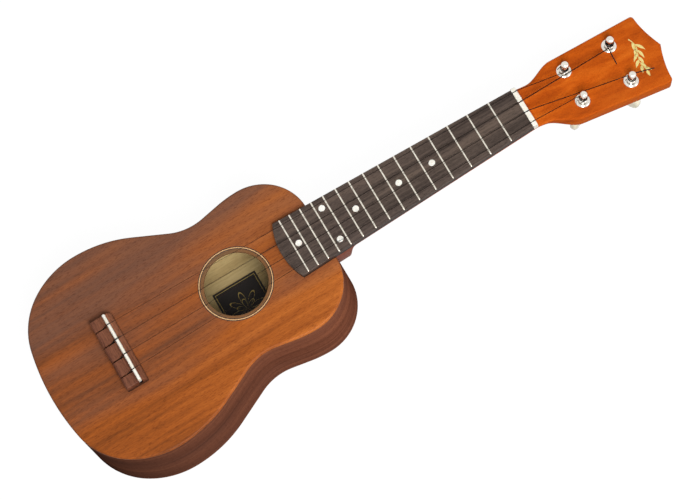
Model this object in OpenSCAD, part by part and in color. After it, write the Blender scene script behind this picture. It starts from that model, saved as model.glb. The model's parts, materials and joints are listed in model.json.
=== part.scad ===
// Soprano ukulele lying on its back: +X treble side, +Y towards the headstock, +Z out of the soundboard.

/* [Scale] */
// String length from the nut to the theoretical saddle line
scale_length = 345; // [330:1:360]
// Extra string length at the saddle, for intonation
saddle_setback = 5; // [2:0.5:8]
// Number of frets
fret_count = 15; // [12:1:17]
// Fret nearest to the end of the body
joint_fret = 12; // [11:1:13]
// Distance from that fret to the end of the body
joint_gap = 4.5; // [1:0.5:7]

/* [Body] */
// Length of the body from tail to neck joint
body_length = 238.5; // [226:0.5:254]
// Widest part of the lower bout
lower_bout_width = 175; // [162:0.5:186]
// Width of the waist
waist_width = 118; // [110:1:121]
// Widest part of the upper bout
upper_bout_width = 128.5; // [124:0.5:136]
// Distance of the lower bout's widest line from the tail
lower_bout_from_tail = 66.5; // [62:0.5:73]
// Distance of the waist from the tail
waist_from_tail = 158; // [150:0.5:165]
// Distance of the upper bout's widest line from the tail
upper_bout_from_tail = 198.5; // [192:0.5:205]
// Radius of the curve across the tail
tail_radius = 200; // [150:5:280]
// Radius of the side just behind the lower bout
bout_radius = 68.5; // [66:0.5:80]
// Angle that this radius covers, before the tighter corner at the tail
bout_sweep = 34; // [20:1:44]
// Radius of the side just ahead of the lower bout
lower_flank_radius = 103; // [70:1:110]
// Radius of the hollow of the waist
waist_radius = 43.5; // [32:0.5:48]
// Radius of the side just behind the upper bout
upper_flank_radius = 93; // [60:1:105]
// Width of the flat where the neck butts against the body
front_flat_width = 48; // [44:1:54]
// Depth of the body over both plates
body_depth = 61; // [54:1:68]
// Thickness of the soundboard
top_thickness = 2; // [1.6:0.1:3]
// Thickness of the back
back_thickness = 2; // [1.6:0.1:3]
// Thickness of the bent sides
rib_thickness = 1.8; // [1.4:0.1:2.6]

/* [Inside the body] */
// Height of the lining strips
lining_height = 7; // [5:0.5:10]
// Width of the lining strips
lining_width = 3.5; // [2.5:0.5:5]
// Width of the neck block
neck_block_width = 46; // [38:1:52]
// Length of the neck block along the body
neck_block_length = 18; // [14:1:20]
// Width of the tail block
tail_block_width = 44; // [30:1:56]
// Length of the tail block along the body
tail_block_length = 9; // [6:1:14]
// Width of the braces
brace_width = 6; // [4:0.5:8]
// Height of the braces
brace_height = 8; // [5:0.5:11]
// Gap from the soundhole's edge to each top brace
top_brace_gap = 9; // [6:1:12]
// Gap from the label to each back brace
back_brace_gap = 22; // [14:1:28]
// Thickness of the plate under the bridge
bridge_plate_thickness = 1.6; // [1:0.1:2.5]
// How far that plate reaches past the bridge
bridge_plate_margin = 6; // [3:1:12]
// Width of the paper label
label_width = 48; // [34:1:54]
// Length of the paper label
label_length = 38; // [28:1:44]
// Thickness of the paper label
label_thickness = 0.3; // [0.2:0.1:0.5]
// How far the label lies behind the soundhole's centre
label_offset = 3.5; // [0:0.5:10]

/* [Soundhole] */
// Distance of the soundhole's centre from the neck joint
soundhole_from_front = 75; // [69:1:83]
// Diameter of the soundhole
soundhole_diameter = 50; // [44:1:56]
// Wood left between the soundhole and the rosette
rosette_gap = 2.4; // [1.5:0.1:4]
// Width of the rosette ring
rosette_width = 2; // [1.2:0.1:3]
// Depth of the rosette ring in the soundboard
rosette_depth = 1; // [0.6:0.1:1.4]

/* [Fretboard] */
// Width of the fretboard at the nut
nut_width = 35; // [33:0.2:38]
// Width of the fretboard at the joint fret
board_joint_width = 46.4; // [44:0.2:50]
// Thickness of the fretboard
fretboard_thickness = 5; // [4:0.25:6.5]
// Board left past the last fret at its edges
board_end_margin = 5.5; // [3:0.5:8]
// Rise of the curve across the end of the board
board_end_bulge = 5.6; // [2:0.2:9]
// Width of a fret's crown
fret_crown_width = 1.4; // [1.2:0.1:2.4]
// Height of a fret's crown
fret_crown_height = 0.7; // [0.6:0.05:1.1]
// Thickness of a fret's tang
fret_tang_width = 0.6; // [0.5:0.05:0.8]
// Depth of a fret's tang
fret_tang_depth = 1.8; // [1.2:0.1:2.5]
// Diameter of the position dots
dot_diameter = 5.2; // [4:0.2:6]
// Depth of the position dots
dot_depth = 1.2; // [0.8:0.1:2]
// Spacing of the pair of dots at the octave
dot_pair_spacing = 28.8; // [22:0.2:32]

/* [Nut and saddle] */
// Length of the nut along the neck
nut_thickness = 4; // [3.5:0.1:6]
// Height of the strings over the board at the nut
nut_string_height = 1.3; // [1.1:0.1:2]
// Depth of the nut's slots
nut_slot_depth = 0.8; // [0.5:0.1:1.2]
// Distance between the outer strings at the nut
nut_spread = 28; // [25:0.5:30]
// Distance between the outer strings at the saddle
saddle_spread = 41; // [37:0.5:46]
// Thickness of the saddle
saddle_thickness = 2.6; // [2.2:0.1:3.6]
// Height of the saddle's crest over the soundboard
saddle_height = 11.5; // [10:0.25:14]
// Depth of the saddle's slot
saddle_slot_depth = 4; // [3:0.25:4.5]

/* [Bridge] */
// Length of the bridge across the body
bridge_length = 61; // [54:1:76]
// Height of the bridge
bridge_height = 8.3; // [7.5:0.1:9]
// Height of the bridge's sloped front edge
bridge_front_height = 4.5; // [3:0.25:6]
// Length of the bridge behind the saddle's middle
bridge_behind = 12.5; // [11:0.5:16]
// Length of the bridge ahead of the saddle's middle
bridge_ahead = 5.5; // [4.5:0.5:8]
// Height of the string slots' floor
kerf_floor = 3.1; // [2.6:0.1:3.6]
// Diameter of the pockets for the string knots
knot_pocket_diameter = 3.6; // [3.2:0.1:4.2]
// Depth of the pockets for the string knots
knot_pocket_depth = 4.5; // [4:0.25:6]
// Diameter of a string's knot
knot_diameter = 2.6; // [2:0.1:3]

/* [Neck] */
// Depth of the neck below the fretboard at the nut
neck_depth_nut = 13.5; // [12:0.5:18]
// Depth of the neck below the fretboard where the heel starts
neck_depth_heel = 15.5; // [14:0.5:20]
// Height of the heel's tip over the level of the back
heel_rise = 3; // [1:0.5:12]
// Length of the heel along the neck, with its sweep
heel_length = 18; // [15:0.5:24]
// Length of the heel's full section next to the body
heel_block = 9.5; // [6:0.5:12]
// Diameter of the dowel in the neck joint
dowel_diameter = 8; // [6:0.5:10]
// Length of the dowel in the neck joint
dowel_length = 28; // [20:1:30]
// Depth of the dowel below the soundboard
dowel_drop = 18; // [16:1:22]

/* [Headstock] */
// Angle of the headstock behind the fretboard
head_angle = 14.5; // [10:0.5:17]
// Thickness of the headstock
head_thickness = 12; // [11:0.5:14]
// Length of the headstock from the nut to its corners
head_length = 110; // [100:0.5:118]
// Rise of the crown in the middle of the headstock's end
head_crown = 7; // [3:0.5:10]
// Radius of the headstock's corners
head_corner = 3; // [1:0.5:5]
// Width of the headstock where its flare ends
head_shoulder_width = 54; // [50:0.2:58]
// Width of the headstock at its corners
head_end_width = 62.6; // [56:0.2:66]
// Distance from the nut to the start of the flare
flare_start = 8; // [5:0.5:11]
// Distance from the nut to the end of the flare
flare_end = 35; // [30:0.5:40]
// Distance from the nut to the near pair of tuners
tuner_near = 40; // [37:0.5:46]
// Distance from the nut to the far pair of tuners
tuner_far = 81; // [74:0.5:88]
// Distance between the near pair of tuners
tuner_near_spacing = 28.2; // [26:0.2:30]
// Distance between the far pair of tuners
tuner_far_spacing = 33.4; // [30:0.2:36]

/* [Tuners] */
// Height of a post over the headstock
post_height = 12.5; // [12:0.5:15]
// Diameter of a post's rounded tip
post_tip_diameter = 6.2; // [5.6:0.1:7]
// Diameter of a post where the string winds
post_waist_diameter = 5; // [4.4:0.1:5.4]
// Diameter of a post's shaft
shaft_diameter = 5; // [4.4:0.1:5.4]
// Length of a post's shaft inside its button
shaft_in_button = 11; // [8:0.5:12]
// Diameter of the hole through a post
string_hole_diameter = 1.6; // [1.4:0.1:2]
// Diameter of a ferrule's flange
ferrule_diameter = 12; // [11:0.1:13]
// Height of a ferrule's flange
ferrule_height = 1.6; // [1.2:0.1:2.2]
// Diameter of the barrels of ferrule and collar
barrel_diameter = 9; // [8:0.1:9.6]
// Length of the barrels of ferrule and collar
barrel_length = 4.8; // [3:0.1:5.2]
// Diameter of the collar behind the headstock
collar_diameter = 11.6; // [11:0.1:13]
// Height of the collar behind the headstock
collar_height = 2.6; // [2:0.1:4]
// Diameter of a button's stem
stem_diameter = 8.4; // [8:0.1:10]
// Length of a button's stem
stem_length = 3.6; // [2.5:0.1:6]
// Width of a button's wing
button_width = 22; // [17:0.5:24]
// Height of a button's wing
button_height = 16; // [14:0.5:17]
// Thickness of a button's wing
button_thickness = 7.4; // [7:0.1:9]
// Diameter of a button's screw
screw_diameter = 2.4; // [2:0.1:2.8]
// Diameter of that screw's head
screw_head_diameter = 5; // [4:0.1:6]
// Height of that screw's head
screw_head_height = 1.2; // [0.8:0.1:1.6]

/* [Strings] */
// Diameter of the fourth string, G
string_g_diameter = 0.65; // [0.55:0.05:0.9]
// Diameter of the third string, C
string_c_diameter = 0.9; // [0.7:0.05:1.05]
// Diameter of the second string, E
string_e_diameter = 0.8; // [0.6:0.05:1]
// Diameter of the first string, A
string_a_diameter = 0.65; // [0.5:0.05:0.8]
// Height on the posts where the strings arrive
wind_height = 4.6; // [4.4:0.1:5]
// Open space between neighbouring turns on a post
wind_gap = 0.5; // [0.45:0.05:0.6]
// Length of the long string ends left past the windings
long_tail = 19; // [10:0.5:20]
// Length of the short string ends left past the windings
short_tail = 5; // [3:0.5:7]

/* [Fits] */
// Gap round glued, inlaid and pressed pieces
seat_clearance = 0.05; // [0.02:0.01:0.1]
// Radial gap of a shaft in its ferrule and collar
running_clearance = 0.05; // [0.02:0.01:0.1]
// Gap along the axis between turning and fixed pieces
axial_clearance = 0.35; // [0.3:0.05:0.5]
// Gap on each side of a string in its bridge slot
kerf_clearance = 0.25; // [0.15:0.05:0.4]

/* [Hidden] */
$fn = 64;
STRINGS = ["g", "c", "e", "a"];

// Heights above the back's outer face
top_z = body_depth;
inside_top_z = top_z - top_thickness;
board_z = top_z + fretboard_thickness;

// Places along the instrument, from the tail
front_y = body_length;
nut_y = front_y + joint_gap + scale_length * (1 - pow(2, -joint_fret / 12));
head_y = nut_y + nut_thickness;
saddle_y = nut_y - scale_length - saddle_setback;
soundhole_y = front_y - soundhole_from_front;
label_y = soundhole_y - label_offset;
total_length = head_y + (head_length + head_crown) * cos(head_angle);

function fret_y(n) = nut_y - scale_length * (1 - pow(2, -n / 12));

// Half width of the fretboard and the neck at a place along them
board_taper = (board_joint_width - nut_width) / 2 / (nut_y - fret_y(joint_fret));
function board_half(y) = nut_width / 2 + board_taper * max(0, nut_y - y);
board_end_y = fret_y(fret_count) - board_end_margin;

// Points of an arc after its first one
function arc(center, r, from, to, steps) =
    [for (i = [1:steps]) let (a = from + (to - from) * i / steps) center + r * [cos(a), sin(a)]];

// Body outline: tail arc, corner, bout, flank, waist, flank, and an elliptic shoulder up to the flat
lower_half = lower_bout_width / 2;
waist_half = waist_width / 2;
upper_half = upper_bout_width / 2;
flat_half = front_flat_width / 2;
tail_center = [0, tail_radius];
bout_center = [lower_half - bout_radius, lower_bout_from_tail];
// The corner leaves the bout's arc in this direction and runs tangent into the tail's arc
corner_way = [cos(bout_sweep), -sin(bout_sweep)];
corner_reach = bout_center + bout_radius * corner_way - tail_center;
corner_room = tail_radius - corner_reach * corner_way;
corner_radius = (pow(tail_radius, 2) - corner_reach * corner_reach) / (2 * corner_room);
corner_center = bout_center + (bout_radius - corner_radius) * corner_way;
tail_angle = atan2(corner_center.y - tail_center.y, corner_center.x);

// Largest sum of the two radii that a bout and the waist can have at their distance
radius_share = 0.98;
function radius_room(drop, run) = radius_share * (pow(drop, 2) + pow(run, 2)) / (2 * drop);
lower_room = radius_room(lower_half - waist_half, waist_from_tail - lower_bout_from_tail);
upper_room = radius_room(upper_half - waist_half, upper_bout_from_tail - waist_from_tail);
lower_flank = min(lower_flank_radius, lower_room - waist_radius);
upper_flank = min(upper_flank_radius, upper_room - waist_radius);
lower_flank_center = [lower_half - lower_flank, lower_bout_from_tail];
upper_flank_center = [upper_half - upper_flank, upper_bout_from_tail];
waist_center = [waist_half + waist_radius, waist_from_tail];
function lean(v) = atan2(v.y, v.x);
function crossing(v, reach) = acos(reach / norm(v));
to_waist_low = waist_center - lower_flank_center;
to_waist_high = waist_center - upper_flank_center;
lower_lean = lean(to_waist_low) - crossing(to_waist_low, lower_flank + waist_radius);
upper_lean = lean(to_waist_high) + crossing(to_waist_high, upper_flank + waist_radius);
shoulder_reach = [upper_half - flat_half, front_y - upper_bout_from_tail];

function shoulder(inset, steps) = [for (i = [1:steps]) let (a = 90 * i / steps)
    [flat_half + (shoulder_reach.x - inset) * cos(a),
     upper_bout_from_tail + (shoulder_reach.y - inset) * sin(a)]];

// Treble half of the outline, from the tail to the neck joint, moved inwards by inset
function half_outline(inset) = concat(
    [[0, inset]],
    arc(tail_center, tail_radius - inset, -90, tail_angle, 4),
    arc(corner_center, corner_radius - inset, tail_angle, -bout_sweep, 9),
    arc(bout_center, bout_radius - inset, -bout_sweep, 0, 6),
    arc(lower_flank_center, lower_flank - inset, 0, lower_lean, 5),
    [waist_center - (waist_radius + inset) * [cos(lower_lean), sin(lower_lean)]],
    arc(waist_center, -waist_radius - inset, lower_lean, upper_lean, 7),
    [upper_flank_center + (upper_flank - inset) * [cos(upper_lean), sin(upper_lean)]],
    arc(upper_flank_center, upper_flank - inset, upper_lean, 0, 4),
    shoulder(inset, 14),
    [[0, front_y - inset]]
);
function reverse(list) = [for (i = [len(list) - 1:-1:0]) list[i]];
function outline(inset) = let (half = half_outline(inset))
    concat(half, [for (i = [len(half) - 2:-1:1]) [-half[i].x, half[i].y]]);

// Loft of rings with equal point counts; the end rings are closed as two facing rows
function loft_faces(rings, around) = let (row = around / 2) concat(
    [for (k = [0:rings - 2], j = [0:around - 1]) let (a = k * around + j, b = k * around + (j + 1) % around)
        [a, b, b + around]],
    [for (k = [0:rings - 2], j = [0:around - 1]) let (a = k * around + j, b = k * around + (j + 1) % around)
        [a, b + around, a + around]],
    [for (i = [0:row - 2]) [i, around - 2 - i, i + 1]],
    [for (i = [0:row - 2]) [i, around - 1 - i, around - 2 - i]],
    [for (i = [0:row - 2]) let (e = (rings - 1) * around) [e + i, e + i + 1, e + around - 2 - i]],
    [for (i = [0:row - 2]) let (e = (rings - 1) * around) [e + i, e + around - 2 - i, e + around - 1 - i]]
);

// Round tube along a path, its rings turned by a reference direction that the path never follows
function unit(v) = v / norm(v);
function heading(path, i) = unit(path[min(i + 1, len(path) - 1)] - path[max(i - 1, 0)]);
function tube_points(path, r, sides, reference) = [for (i = [0:len(path) - 1]) let (
        along = heading(path, i),
        across = unit(cross(along, reference)),
        up = cross(across, along))
    for (j = [0:sides - 1]) let (a = 360 * (j + 0.5) / sides)
        path[i] + r * (cos(a) * across + sin(a) * up)];
module tube(path, diameter, sides, reference) {
    points = tube_points(path, diameter / 2, sides, reference);
    polyhedron(points, loft_faces(len(path), sides), convexity = 6);
}

module body_plate(inset, low, high) {
    translate([0, 0, low])
        linear_extrude(high - low)
            polygon(outline(inset));
}
// Bent strip along the treble side between two insets
module side_strip(outer, inner, low, high) {
    translate([0, 0, low])
        linear_extrude(high - low)
            polygon(concat(half_outline(outer), reverse(half_outline(inner))));
}
module bass_side() {
    mirror([1, 0, 0])
        children();
}
module box_between(low, high) {
    translate(low)
        cube(high - low);
}

dowel_z = top_z - dowel_drop;
module dowel_bore(clearance) {
    translate([0, front_y - rib_thickness - dowel_length / 2 - clearance, dowel_z])
        rotate([-90, 0, 0])
            cylinder(d = dowel_diameter + 2 * clearance, h = dowel_length + 2 * clearance);
}

module soundboard() {
    color("peru")
        difference() {
            body_plate(0, inside_top_z, top_z);
            translate([0, soundhole_y, inside_top_z - 1])
                cylinder(d = soundhole_diameter, h = top_thickness + 2);
            translate([0, soundhole_y, 0])
                rosette_band(seat_clearance, top_thickness);
        }
}
module back_plate() {
    color("sienna")
        body_plate(0, 0, back_thickness);
}
module rib() {
    difference() {
        side_strip(0, rib_thickness, back_thickness, inside_top_z);
        dowel_bore(seat_clearance);
    }
}
module rib_treble() {
    color("saddlebrown")
        rib();
}
module rib_bass() {
    color("saddlebrown")
        bass_side()
            rib();
}
module neck_block_space(clearance) {
    half = neck_block_width / 2 + clearance;
    box_between([-half, front_y - rib_thickness - neck_block_length - clearance, 0], [half, front_y, top_z]);
}
module tail_block_space(clearance) {
    half = tail_block_width / 2 + clearance;
    box_between([-half, 0, 0], [half, rib_thickness + tail_block_length + clearance, top_z]);
}
module neck_block() {
    color("burlywood")
        difference() {
            intersection() {
                neck_block_space(0);
                body_plate(rib_thickness, back_thickness, inside_top_z);
            }
            dowel_bore(seat_clearance);
        }
}
module tail_block() {
    color("burlywood")
        intersection() {
            tail_block_space(0);
            body_plate(rib_thickness, back_thickness, inside_top_z);
        }
}
module lining(low) {
    difference() {
        side_strip(rib_thickness, rib_thickness + lining_width, low, low + lining_height);
        neck_block_space(seat_clearance);
        tail_block_space(seat_clearance);
    }
}
module lining_top_treble() {
    color("burlywood")
        lining(inside_top_z - lining_height);
}
module lining_top_bass() {
    color("burlywood")
        bass_side()
            lining(inside_top_z - lining_height);
}
module lining_back_treble() {
    color("burlywood")
        lining(back_thickness);
}
module lining_back_bass() {
    color("burlywood")
        bass_side()
            lining(back_thickness);
}
// Bar across the body between the linings
module brace(y, low) {
    color("wheat")
        intersection() {
            box_between(
                [-lower_half, y - brace_width / 2, low],
                [lower_half, y + brace_width / 2, low + brace_height]);
            body_plate(rib_thickness + lining_width + seat_clearance, 0, top_z);
        }
}
top_brace_reach = soundhole_diameter / 2 + top_brace_gap + brace_width / 2;
back_brace_reach = label_length / 2 + back_brace_gap + brace_width / 2;
module top_brace_upper() {
    brace(soundhole_y + top_brace_reach, inside_top_z - brace_height);
}
module top_brace_lower() {
    brace(soundhole_y - top_brace_reach, inside_top_z - brace_height);
}
module back_brace_upper() {
    brace(label_y + back_brace_reach, back_thickness);
}
module back_brace_lower() {
    brace(label_y - back_brace_reach, back_thickness);
}
module bridge_plate() {
    half = bridge_length / 2 + bridge_plate_margin;
    color("wheat")
        box_between(
            [-half, saddle_y - bridge_behind - bridge_plate_margin, inside_top_z - bridge_plate_thickness],
            [half, saddle_y + bridge_ahead + bridge_plate_margin, inside_top_z]);
}

rosette_inner = soundhole_diameter / 2 + rosette_gap;
rosette_outer = rosette_inner + rosette_width;
module rosette_band(clearance, above) {
    translate([0, 0, top_z - rosette_depth])
        difference() {
            cylinder(r = rosette_outer + clearance, h = rosette_depth + above);
            translate([0, 0, -1])
                cylinder(r = rosette_inner - clearance, h = rosette_depth + above + 2);
        }
}
module rosette_ring() {
    color("ivory")
        translate([0, soundhole_y, 0])
            rosette_band(0, 0);
}
module label() {
    color("black")
        box_between(
            [-label_width / 2, label_y - label_length / 2, back_thickness],
            [label_width / 2, label_y + label_length / 2, back_thickness + label_thickness]);
}

// Places of the strings at the nut and the saddle
string_diameters = [string_g_diameter, string_c_diameter, string_e_diameter, string_a_diameter];
function nut_x(i) = nut_spread * (i / 3 - 0.5);
function saddle_x(i) = saddle_spread * (i / 3 - 0.5);
bridge_edge = 1.2;
bridge_top_front = saddle_thickness / 2 + bridge_edge;
knot_y = saddle_y - bridge_behind + knot_pocket_depth / 2;
function knot_z(i) = top_z + kerf_floor + kerf_clearance + string_diameters[i] / 2;

module bridge() {
    color("saddlebrown")
        difference() {
            translate([-bridge_length / 2, saddle_y, top_z])
                rotate([90, 0, 90])
                    linear_extrude(bridge_length)
                        polygon([
                            [-bridge_behind, 0],
                            [-bridge_behind, bridge_height - bridge_edge],
                            [-bridge_behind + bridge_edge, bridge_height],
                            [bridge_top_front, bridge_height],
                            [bridge_ahead, bridge_front_height],
                            [bridge_ahead, 0]
                        ]);
            saddle_space(bridge_length + 2, seat_clearance);
            for (i = [0:3])
                bridge_slot(i);
        }
}
// Saw cut that a string drops into, and the pocket for its knot
module bridge_slot(i) {
    half = string_diameters[i] / 2 + kerf_clearance;
    box_between(
        [saddle_x(i) - half, saddle_y - bridge_behind - 1, top_z + kerf_floor],
        [saddle_x(i) + half, saddle_y, top_z + bridge_height + 1]);
    translate([saddle_x(i), saddle_y - bridge_behind - 1, knot_z(i)])
        rotate([-90, 0, 0])
            cylinder(d = knot_pocket_diameter, h = knot_pocket_depth + 1);
}
module saddle_space(length, clearance) {
    half = saddle_thickness / 2 + clearance;
    box_between(
        [-length / 2, saddle_y - half, top_z + bridge_height - saddle_slot_depth],
        [length / 2, saddle_y + half, top_z + bridge_height + 1]);
}
// The saddle's crest is half round
crest_radius = saddle_thickness / 2;
crest_z = top_z + saddle_height - crest_radius;
saddle_end_inset = 0.5;
module saddle() {
    floor_z = top_z + bridge_height - saddle_slot_depth;
    length = bridge_length - 2 * saddle_end_inset;
    color("ivory")
        translate([-length / 2, saddle_y, 0])
            rotate([90, 0, 90])
                linear_extrude(length)
                    polygon(concat(
                        [[-crest_radius, floor_z], [crest_radius, floor_z], [crest_radius, crest_z]],
                        arc([0, crest_z], crest_radius, 0, 180, 12)));
}

// Neck and headstock in one piece, lofted through sections that run from the heel to the crown
section_steps = 14;
heel_steps = 8;
shaft_steps = 4;
flare_steps = 8;
plate_steps = 4;
corner_steps = 5;
crown_sweep = 1.7;
shaft_side = 0.05;
heel_side = shaft_side / 3;
head_side = 0.82;
shaft_power = 1.5;
head_power = 3;
function mix(a, b, t) = a + (b - a) * t;
function ease(t) = let (u = min(1, max(0, t))) u * u * (3 - 2 * u);
heel_end_y = front_y + heel_length;
heel_depth = body_depth - heel_rise;
function shaft_depth(y) = mix(neck_depth_nut, neck_depth_heel, (nut_y - y) / (nut_y - heel_end_y));
// The heel keeps its full section next to the body, then sweeps up to the shaft
function heel_share(y) = 1 - ease((y - front_y - heel_block) / (heel_length - heel_block));
function head_share(d) = (d - flare_end) / (head_length - flare_end);
function corner_cut(d) = let (u = min(head_corner, max(0, d - head_length + head_corner)))
    head_corner - sqrt(pow(head_corner, 2) - pow(u, 2));
function head_half(d) = d < flare_end
    ? mix(nut_width, head_shoulder_width, ease((d - flare_start) / (flare_end - flare_start))) / 2
    : mix(head_shoulder_width, head_end_width, head_share(d)) / 2 - corner_cut(d);

// One section: flat on top, rounded below; crown pushes its middle along the headstock
function section(y, z, tilt, half, depth, side, power, crown) = let (
        spread = [for (i = [0:section_steps]) cos(180 * i / section_steps)],
        bulge = [for (q = spread) pow(max(0, 1 - pow(abs(q), power)), 1 / power)],
        drop = [for (b = bulge) depth * (side + (1 - side) * b)],
        push = [for (q = spread) crown * pow(1 - min(1, abs(q)), crown_sweep)])
    concat(
        [for (i = [0:section_steps])
            [half * spread[i], y + push[i] * cos(tilt), z - push[i] * sin(tilt)]],
        [for (i = [section_steps:-1:0])
            [half * spread[i],
             y + push[i] * cos(tilt) - drop[i] * sin(tilt),
             z - push[i] * sin(tilt) - drop[i] * cos(tilt)]]);
function neck_section(y) = let (h = heel_share(y)) section(
    y, top_z, 0, board_half(y), mix(shaft_depth(max(y, heel_end_y)), heel_depth, h),
    mix(shaft_side, heel_side, h), shaft_power, 0);
function head_section(d) = let (t = ease(d / flare_end), crown = head_crown * max(0, head_share(d))) section(
    head_y + d * cos(head_angle), top_z - d * sin(head_angle), d > 0 ? head_angle : head_angle / 2,
    head_half(d), mix(neck_depth_nut, head_thickness, t), mix(shaft_side, head_side, t),
    mix(shaft_power, head_power, t), crown);
// The first headstock section clears the tilted one at the bend
bend_margin = 1;
bend_clear = neck_depth_nut * tan(head_angle) + bend_margin;
neck_sections = concat(
    [neck_section(front_y)],
    [for (i = [0:heel_steps]) neck_section(front_y + mix(heel_block, heel_length, i / heel_steps))],
    [for (i = [1:shaft_steps]) neck_section(mix(heel_end_y, nut_y, i / shaft_steps))],
    [head_section(0)],
    [for (i = [0:flare_steps]) head_section(mix(bend_clear, flare_end, i / flare_steps))],
    [for (i = [1:plate_steps]) head_section(mix(flare_end, head_length - head_corner, i / plate_steps))],
    [for (i = [1:corner_steps])
        head_section(head_length - head_corner * (1 - sin(90 * i / corner_steps)))]
);
module neck() {
    points = [for (s = neck_sections) each s];
    around = 2 * (section_steps + 1);
    color("sienna")
        difference() {
            polyhedron(points, loft_faces(len(neck_sections), around), convexity = 8);
            dowel_bore(seat_clearance);
            for (i = [0:3])
                peg_place(i)
                    translate([0, 0, -head_thickness - 1])
                        cylinder(d = barrel_diameter + 2 * seat_clearance, h = head_thickness + 2);
        }
}
module neck_dowel() {
    color("burlywood")
        dowel_bore(0);
}

end_half = board_half(board_end_y);
end_radius = (pow(end_half, 2) + pow(board_end_bulge, 2)) / (2 * board_end_bulge);
end_spread = asin(end_half / end_radius);
module fretboard() {
    color([0.33, 0.25, 0.18])
        difference() {
            translate([0, 0, top_z])
                linear_extrude(fretboard_thickness)
                    polygon(concat(
                        [[end_half, board_end_y], [nut_width / 2, nut_y],
                         [-nut_width / 2, nut_y], [-end_half, board_end_y]],
                        arc([0, board_end_y - board_end_bulge + end_radius], end_radius,
                            270 - end_spread, 270 + end_spread, 16)));
            for (n = [1:fret_count])
                fret_slot(n);
            dot_places()
                translate([0, 0, -dot_depth])
                    cylinder(d = dot_diameter + 2 * seat_clearance, h = dot_depth + 1);
        }
}
module fret_slot(n) {
    half = fret_tang_width / 2 + seat_clearance;
    box_between(
        [-board_joint_width, fret_y(n) - half, board_z - fret_tang_depth - seat_clearance],
        [board_joint_width, fret_y(n) + half, board_z + 1]);
}
// Fret with a domed crown on a thin tang
fret_end_inset = 0.4;
dome_radius = (pow(fret_crown_width / 2, 2) + pow(fret_crown_height, 2)) / (2 * fret_crown_height);
dome_spread = asin(min(1, fret_crown_width / 2 / dome_radius));
module fret(n) {
    half = board_half(fret_y(n)) - fret_end_inset;
    crown = fret_crown_width / 2;
    tang = fret_tang_width / 2;
    translate([-half, fret_y(n), board_z])
        rotate([90, 0, 90])
            linear_extrude(2 * half)
                polygon(concat(
                    [[-crown, 0], [-tang, 0], [-tang, -fret_tang_depth],
                     [tang, -fret_tang_depth], [tang, 0], [crown, 0]],
                    arc([0, fret_crown_height - dome_radius], dome_radius,
                        90 - dome_spread, 90 + dome_spread, 8)));
}
module frets() {
    color("silver")
        for (n = [1:fret_count])
            fret(n);
}
// Frets that have a dot behind them, and how many dots
dot_frets = [[5, 1], [7, 1], [10, 1], [12, 2], [15, 1]];
function dot_y(n) = (fret_y(n) + fret_y(n - 1)) / 2;
module dot_places() {
    for (d = dot_frets)
        if (d[0] <= fret_count)
            for (k = [0:d[1] - 1])
                translate([(k - (d[1] - 1) / 2) * dot_pair_spacing, dot_y(d[0]), board_z])
                    children();
}
module position_dots() {
    color("white")
        dot_places()
            translate([0, 0, -dot_depth])
                cylinder(d = dot_diameter, h = dot_depth);
}
function nut_string_z(i) = board_z + nut_string_height + string_diameters[i] / 2;
module nut() {
    color("ivory")
        difference() {
            box_between(
                [-nut_width / 2, nut_y, top_z],
                [nut_width / 2, head_y, board_z + nut_string_height + nut_slot_depth]);
            for (i = [0:3])
                let (half = string_diameters[i] / 2 + seat_clearance)
                    box_between(
                        [nut_x(i) - half, nut_y - 1, board_z + nut_string_height - seat_clearance],
                        [nut_x(i) + half, head_y + 1, board_z + nut_string_height + nut_slot_depth + 1]);
        }
}

// Frame of the headstock: origin at its middle by the nut, z out of its face
module head_frame() {
    translate([0, head_y, top_z])
        rotate([-head_angle, 0, 0])
            children();
}
function from_head(p) = [
    p.x,
    head_y + p.y * cos(head_angle) + p.z * sin(head_angle),
    top_z - p.y * sin(head_angle) + p.z * cos(head_angle)];
function to_head(p) = let (y = p.y - head_y, z = p.z - top_z)
    [p.x, y * cos(head_angle) - z * sin(head_angle), y * sin(head_angle) + z * cos(head_angle)];

// Tuner places on the headstock's face, in the order of the strings
peg_places = [
    [-tuner_near_spacing / 2, tuner_near], [-tuner_far_spacing / 2, tuner_far],
    [tuner_far_spacing / 2, tuner_far], [tuner_near_spacing / 2, tuner_near]];
module peg_place(i) {
    head_frame()
        translate([peg_places[i].x, peg_places[i].y, 0])
            children();
}
shaft_radius = shaft_diameter / 2;
bore_radius = shaft_radius + running_clearance;
barrel_radius = barrel_diameter / 2;
flange_edge = 0.6;
module peg_ferrule(i) {
    color("silver")
        peg_place(i)
            rotate_extrude()
                polygon([
                    [bore_radius, -barrel_length], [barrel_radius, -barrel_length], [barrel_radius, 0],
                    [ferrule_diameter / 2, 0], [ferrule_diameter / 2, flange_edge],
                    [barrel_radius, ferrule_height], [bore_radius, ferrule_height]]);
}
back_z = -head_thickness;
collar_z = back_z - collar_height;
module peg_collar(i) {
    color("silver")
        peg_place(i)
            rotate_extrude()
                polygon([
                    [bore_radius, back_z + barrel_length], [barrel_radius, back_z + barrel_length],
                    [barrel_radius, back_z], [collar_diameter / 2, back_z],
                    [collar_diameter / 2, back_z - flange_edge], [stem_diameter / 2, collar_z],
                    [bore_radius, collar_z]]);
}
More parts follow.
